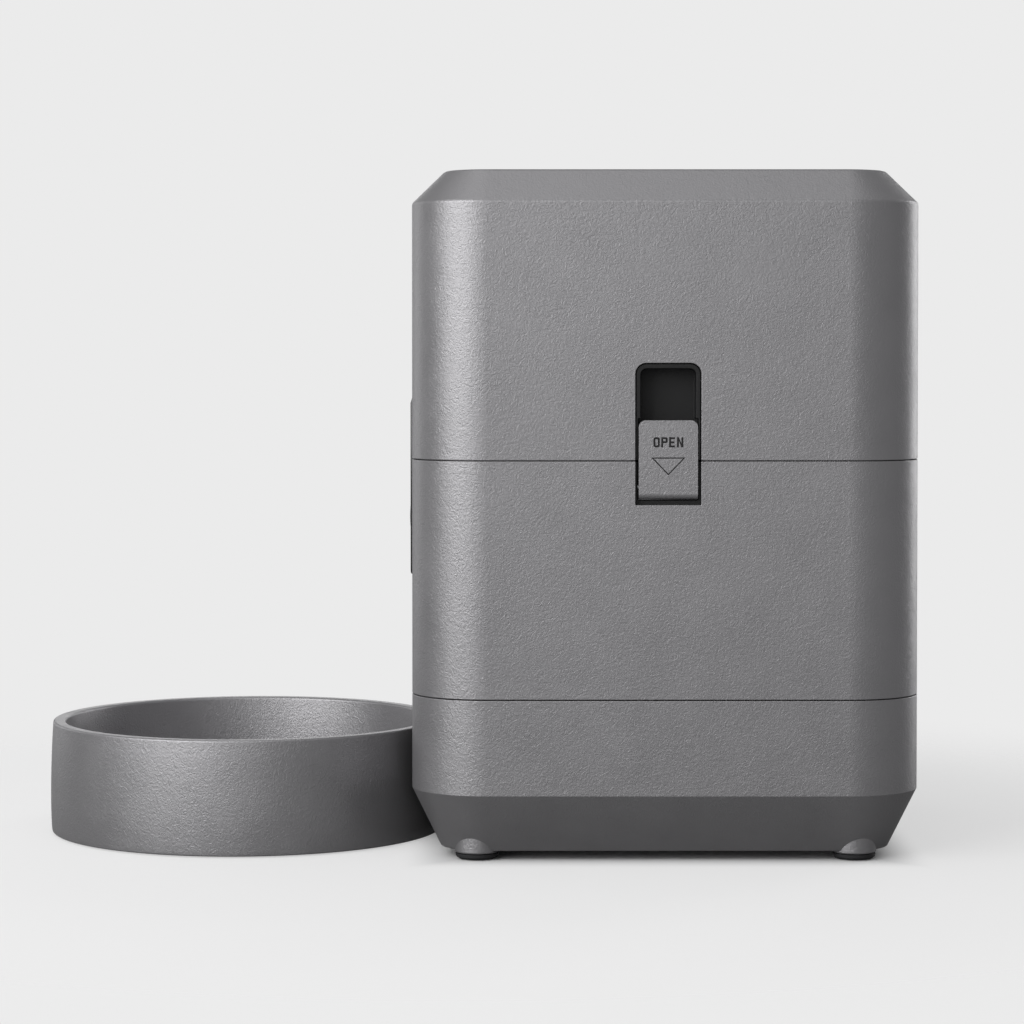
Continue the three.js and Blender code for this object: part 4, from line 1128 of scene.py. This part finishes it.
@dataclass
class Underside:
    """Feet, battery door and screws. Sizes in millimetres."""

    shop: Workshop
    feet: Sequence[Point]
    case_screws: Sequence[Point]
    door_screws: Sequence[Point]
    pad: float = 9.4
    pad_height: float = 2.3
    plug: Point = (4.0, 7.6)
    drive_lobes: int = 6

    def build_feet(self) -> None:
        """Four rubber pads with a tapered side and a shallow tread ring below."""
        pad, rise = self.pad, self.pad_height
        plug, top = self.plug
        corners = [
            (0, 0.5, 0), (3.2, 0.5, 0.2), (3.6, 0, 0.2), (pad - 1.3, 0, 0.5), (pad - 0.2, 0.9, 0.5),
            (pad, rise, 0.15), (plug, rise, 0), (plug, top, 0.4), (0, top, 0),
        ]
        pattern = as_object(revolve(fillet(corners), 64))
        rubber = self.shop.paint[Slot.RUBBER]
        feet = self.shop.repeat.make("feet", pattern, [(x, y, 0) for x, y in self.feet], rubber)
        soften(feet)
        nodes = ["foot_" + place for place in CORNER_PLACES]
        self.shop.place(feet, "rubber_feet", "housing", Slot.RUBBER, nodes)

    def _screw(self, head: float, height: float, shank: float, seat: float, tip: float) -> Object:
        """A pan head screw with a six-lobed drive and a ridged shank."""
        ridges: list[Corner] = []
        pitch = 1.1
        z = seat + 0.6
        while z + pitch < tip - 1:
            ridges += [(shank - 0.25, z, 0), (shank, z + pitch * 0.5, 0)]
            z += pitch
        top = seat - height
        shoulder = seat - height * 0.45
        corners = [
            (0, top, 0), (head * 0.7, top, 0.5), (head, shoulder, 0.4), (head, seat, 0.1),
            (shank, seat, 0.1), *ridges, (shank - 0.3, tip - 1, 0), (0, tip, 0),
        ]
        body = as_object(revolve(fillet(corners, 3), 32))
        lobes = []
        for i in range(60):
            angle = 2 * math.pi * i / 60
            reach = head * (0.36 + 0.05 * math.cos(self.drive_lobes * angle))
            lobes.append((reach * math.cos(angle), reach * math.sin(angle)))
        combine(body, prism(lobes, top - 1, shoulder))
        return soften(body)

    def build_screws(self) -> None:
        """Four case screws and two door screws."""
        case = self._screw(3.5, 2.6, 1.5, 57.7, 78.0)
        self._place_screws("case", case, self.case_screws, CORNER_PLACES, 0.7)
        door = self._screw(3.0, 1.2, 1.5, 3.5, 9.6)
        self._place_screws("door", door, self.door_screws, DOOR_PLACES, 0.4)

    def _place_screws(
        self, kind: str, screw: Object, places: Sequence[Point], words: Sequence[str], turn: float
    ) -> None:
        """Stands a screw at each place, each turned a little from the last."""
        points = [(x, y, 0) for x, y in places]
        steel = self.shop.paint[Slot.STEEL]
        made = self.shop.repeat.make(kind, screw, points, steel, turn)
        nodes = [f"{kind}_screw_{word}" for word in words]
        self.shop.place(made, kind + "_screws", "housing", Slot.STEEL, nodes)


# ---- bowl


@dataclass
class Bowl:
    """The round bowl and the soft ring under it. Sizes in millimetres."""

    shop: Workshop
    belly: float = 91.0
    belly_height: float = 16.0
    rim: float = 89.8
    foot: float = 90.2
    height: float = 51.2
    mouth: float = 84.2
    floor: float = 6.0
    ring: tuple[float, float, float] = (77.0, 86.5, 0.6)

    def build(self) -> None:
        """The bowl's wall and floor, and its ring."""
        foot, top, mouth, wide = self.foot, self.height, self.mouth, self.belly_height
        inner, outer, thick = self.ring
        under = thick + 0.3
        low_side = (2.5, 5, 8, 11, 14)
        side = [(self.belly - 0.5 * ((z - wide) / wide) ** 2, z, 0.0) for z in low_side]
        lean = (self.belly - self.rim) / (top - wide) ** 2
        side += [(self.belly - lean * (z - wide) ** 2, z, 0.0) for z in range(17, 46, 4)]
        corners = [
            (0, under + 1.6, 0), (inner - 1, under + 1.6, 0.4), (inner - 1, under, 0.3),
            (outer + 0.6, under, 0.2), (outer + 0.6, 0.3, 0.2), (foot + 0.2, 0.3, 0.7), *side,
            (self.rim, top, 1.0), (mouth, top, 1.3), (mouth - 2.6, 18, 30),
            (mouth - 9, self.floor + 0.4, 9), (0, self.floor, 0),
        ]
        body = soften(as_object(revolve(fillet(corners, 8), 192)))
        settle(body, self.shop.bowl)
        self.shop.dress(body, "bowl_body", "bowl", Slot.SHELL, ["bowl"])
        band = [(inner, 0, 0.2), (outer, 0, 0.2), (outer, thick, 0.15), (inner, thick, 0.15)]
        ring = soften(as_object(revolve(fillet(band, 3, closed=True), 160, closed=True)))
        settle(ring, self.shop.bowl)
        self.shop.dress(ring, "bowl_grip_band", "bowl", Slot.RUBBER, ["bowl_grip_ring"])


# ---- studio


@dataclass
class Studio:
    """Floor, lights and camera. Lengths in metres."""

    target: Vector
    camera_reach: float = 1.3189
    camera_height: float = 0.2176
    camera_forward: float = 0.0671
    lens_mm: float = 108.16
    sensor_mm: float = 36.0
    pitch_deg: float = 1.42
    shift: float = -0.0744
    backdrop: str = "#ebebeb"
    cast_colour: str = "#e8e8e9"
    ambient: float = 0.4
    floor_radius: float = 4.0
    floor_drop: float = 0.0004
    floor_colour: str = "#838383"
    floor_seen: str = "#dcdcdc"
    floor_fade: Point = (0.26, 0.52)
    floor_glow: float = 0.55
    glow_strength: float = 1.16
    footprint: float = 0.096
    aim: tuple[float, float, float] = (0.0, 0.0, 0.13)
    key_power: float = 23.0
    key_reach: float = 1.7
    key_turn_deg: float = 46.0
    key_rise_deg: float = 22.0
    key_size: float = 1.4
    top_power: float = 9.0
    edge_power: float = 12.0
    left_edge_share: float = 0.35
    back_power: float = 6.0
    fill_power: float = 12.6

    def build_camera(self, face: float) -> None:
        """The camera, looking at the tower's side from a little towards the bowl."""
        data = bpy.data.cameras.new("camera")
        data.lens = self.lens_mm
        data.sensor_width = self.sensor_mm
        data.shift_y = self.shift
        data.clip_start = 0.05
        data.clip_end = 50.0
        camera = bpy.data.objects.new("camera", data)
        along = self.target.y - self.camera_forward
        camera.location = (face + self.camera_reach, along, self.camera_height)
        camera.rotation_euler = (math.radians(90 - self.pitch_deg), 0, math.radians(90))
        bpy.context.scene.collection.objects.link(camera)
        bpy.context.scene.camera = camera

    def build_world(self) -> None:
        """An even pale backdrop that lights the set more weakly than it looks."""
        world = bpy.data.worlds.new("studio")
        bpy.context.scene.world = world
        world.use_nodes = True
        tree = world.node_tree
        tree.nodes.clear()
        seen, cast = (
            out(tree, "ShaderNodeBackground", {"Color": linear(colour), "Strength": strength})
            for colour, strength in ((self.backdrop, 1.0), (self.cast_colour, self.ambient))
        )
        mixed = out(tree, "ShaderNodeMixShader", {0: self._by_eye(tree), 1: cast, 2: seen})
        add_node(tree, "ShaderNodeOutputWorld", {"Surface": mixed})

    def _by_eye(self, tree: Tree) -> Socket:
        """1 where the camera looks straight at a surface, and 0 for every bounce."""
        return add_node(tree, "ShaderNodeLightPath").outputs["Is Camera Ray"]

    def build_floor(self) -> None:
        """A pale floor that fades into the backdrop far from the object, with painted shade under
        the tower.
        """
        disc = skin([circle(0, 0, 96), circle(self.floor_radius, 0, 96)], capped=False)
        floor = as_object(disc, "studio_floor")
        floor.location = (0, 0, -self.floor_drop)
        material, tree, place = new_surface("seamless_paper")
        away = add_node(tree, "ShaderNodeVectorMath", {0: place}, operation="LENGTH")
        distance = away.outputs["Value"]
        fade = spread(tree, distance, self.floor_fade, interpolation_type="SMOOTHSTEP")
        by_eye = self._by_eye(tree)
        tone = blend(tree, by_eye, linear(self.floor_colour), linear(self.floor_seen))
        paper = out(tree, "ShaderNodeBsdfPrincipled", {"Base Color": tone, "Roughness": 0.9})
        given = {"Color": linear(self.backdrop), "Strength": self.glow_strength}
        glow = out(tree, "ShaderNodeEmission", given)
        # The glow shows to the camera only and is held back under the tower: painted shade in the
        # footprint's shape, over the real shadow.
        seen = maths(tree, "MULTIPLY", by_eye, self._outside_painted_shade(tree, place))
        share = maths(tree, "MULTIPLY", seen, self.floor_glow)
        lit = out(tree, "ShaderNodeMixShader", {0: share, 1: paper, 2: glow})
        clear = out(tree, "ShaderNodeBsdfTransparent")
        mixed = out(tree, "ShaderNodeMixShader", {0: fade, 1: lit, 2: clear})
        add_node(tree, "ShaderNodeOutputMaterial", {"Surface": mixed})
        floor.data.materials.append(material)

    def _outside_painted_shade(self, tree: Tree, place: Socket) -> Socket:
        """How clear a floor point is of the tower's footprint: 0 under it, 1 a little way out. The
        glow follows it, which paints shade in the footprint over the real shadow there.
        """
        given = {0: place, 1: self.target}
        middle = out(tree, "ShaderNodeVectorMath", given, operation="SUBTRACT")
        size = out(tree, "ShaderNodeVectorMath", {0: middle}, operation="ABSOLUTE")
        parts = add_node(tree, "ShaderNodeSeparateXYZ", {0: size}).outputs
        most = maths(tree, "MAXIMUM", parts["X"], parts["Y"])
        edge = (self.footprint - 0.006, self.footprint + 0.02)
        return spread(tree, most, edge, interpolation_type="SMOOTHSTEP")

    def _softbox(self, name: str, place: Sequence[float], size: Point, power: float) -> None:
        """A rectangular soft light that points at the set."""
        data = bpy.data.lights.new(name, "AREA")
        data.shape = "RECTANGLE"
        data.size, data.size_y = size
        data.energy = power
        light = bpy.data.objects.new(name, data)
        light.location = place
        light.visible_camera = False
        light.rotation_mode = "QUATERNION"
        way = Vector(self.aim) - Vector(place)
        light.rotation_quaternion = way.to_track_quat("-Z", "Y")
        bpy.context.scene.collection.objects.link(light)

    def build_lights(self) -> None:
        """A key light from the bowl's side in front, with weaker boxes above, behind and beside."""
        turn, rise = math.radians(self.key_turn_deg), math.radians(self.key_rise_deg)
        level = math.cos(rise)
        way = Vector((math.cos(turn) * level, -math.sin(turn) * level, math.sin(rise)))
        key_place = Vector(self.aim) + way * self.key_reach
        side_power = self.edge_power * self.left_edge_share
        self._softbox("key_softbox", key_place, (self.key_size, self.key_size), self.key_power)
        self._softbox("top_softbox", (0.3, -0.3, 2.3), (1.8, 1.8), self.top_power)
        self._softbox("edge_softbox_right", (-1.6, 1.7, 0.6), (0.8, 1.4), self.edge_power)
        self._softbox("edge_softbox_left", (-1.6, -1.7, 0.6), (0.8, 1.4), side_power)
        self._softbox("back_softbox", (-2.6, 0, 0.75), (1.6, 0.9), self.back_power)
        self._softbox("fill_softbox", (2.3, -0.45, 0.95), (1.9, 1.9), self.fill_power)


# ---- assembly


def build_feeder(shop: Workshop) -> None:
    """Builds every sub-assembly of the feeder."""
    cover_low, cover_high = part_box("top_cover")

    def centre(node: str) -> Point:
        """A node's middle in the tower's frame, seen from above, in millimetres."""
        low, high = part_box(node)
        return ((low.x + high.x) / 2 / MM, ((low.y + high.y) / 2 - shop.tower.y) / MM)

    feet = [centre("foot_" + place) for place in CORNER_PLACES]
    screws = [centre("case_screw_" + place) for place in CORNER_PLACES]
    door_screws = [centre("door_screw_" + place) for place in DOOR_PLACES]
    joint_gap = 0.4
    cover_edge, base_edge = cover_low.z / MM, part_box("main_housing")[0].z / MM
    casing = Casing(
        shop,
        half=cover_high.x / MM,
        top=cover_high.z / MM,
        bottom=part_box("battery_door")[0].z / MM,
        base_joint=(base_edge - joint_gap, base_edge),
        cover_joint=(cover_edge - joint_gap, cover_edge),
        feet=feet,
        screws=screws,
    )
    casing.cover()
    casing.housing()
    casing.base()
    for side in Side:
        latch = Latch(shop, side)
        latch.lever()
        latch.fittings()
    panel = ControlPanel(shop)
    panel.bezel()
    panel.window_pane()
    panel.buttons()
    shop.refine_all(BEHIND_PANEL)
    Hopper(shop).build()
    shop.refine_all(FOOD_DRIVE_AND_LID)
    shop.refine("lid_seal", "cover", Slot.SILICONE, 0.8, 4)
    shop.refine("drier_box", "cover", Slot.WHITE, 0.35)
    underside = Underside(shop, feet, screws, door_screws)
    underside.build_feet()
    underside.build_screws()
    shop.refine("battery_door", "housing", Slot.SHELL)
    Bowl(shop).build()


def main() -> None:
    """Builds the feeder and the studio."""
    logging.basicConfig(level=logging.INFO, format="%(name)s: %(message)s")
    bpy.context.scene.view_settings.view_transform = "Standard"
    cover_low, cover_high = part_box("top_cover")
    bowl_low, bowl_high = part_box("bowl")
    tower = Vector((0, (cover_low.y + cover_high.y) / 2, 0))
    dish = Vector((0, (bowl_low.y + bowl_high.y) / 2, 0))
    build_feeder(Workshop(Paintbox(), Repeat(), tower, dish))

    studio = Studio(tower)
    studio.build_camera(cover_high.x)
    studio.build_world()
    studio.build_floor()
    studio.build_lights()


if __name__ == "__main__":
    main()
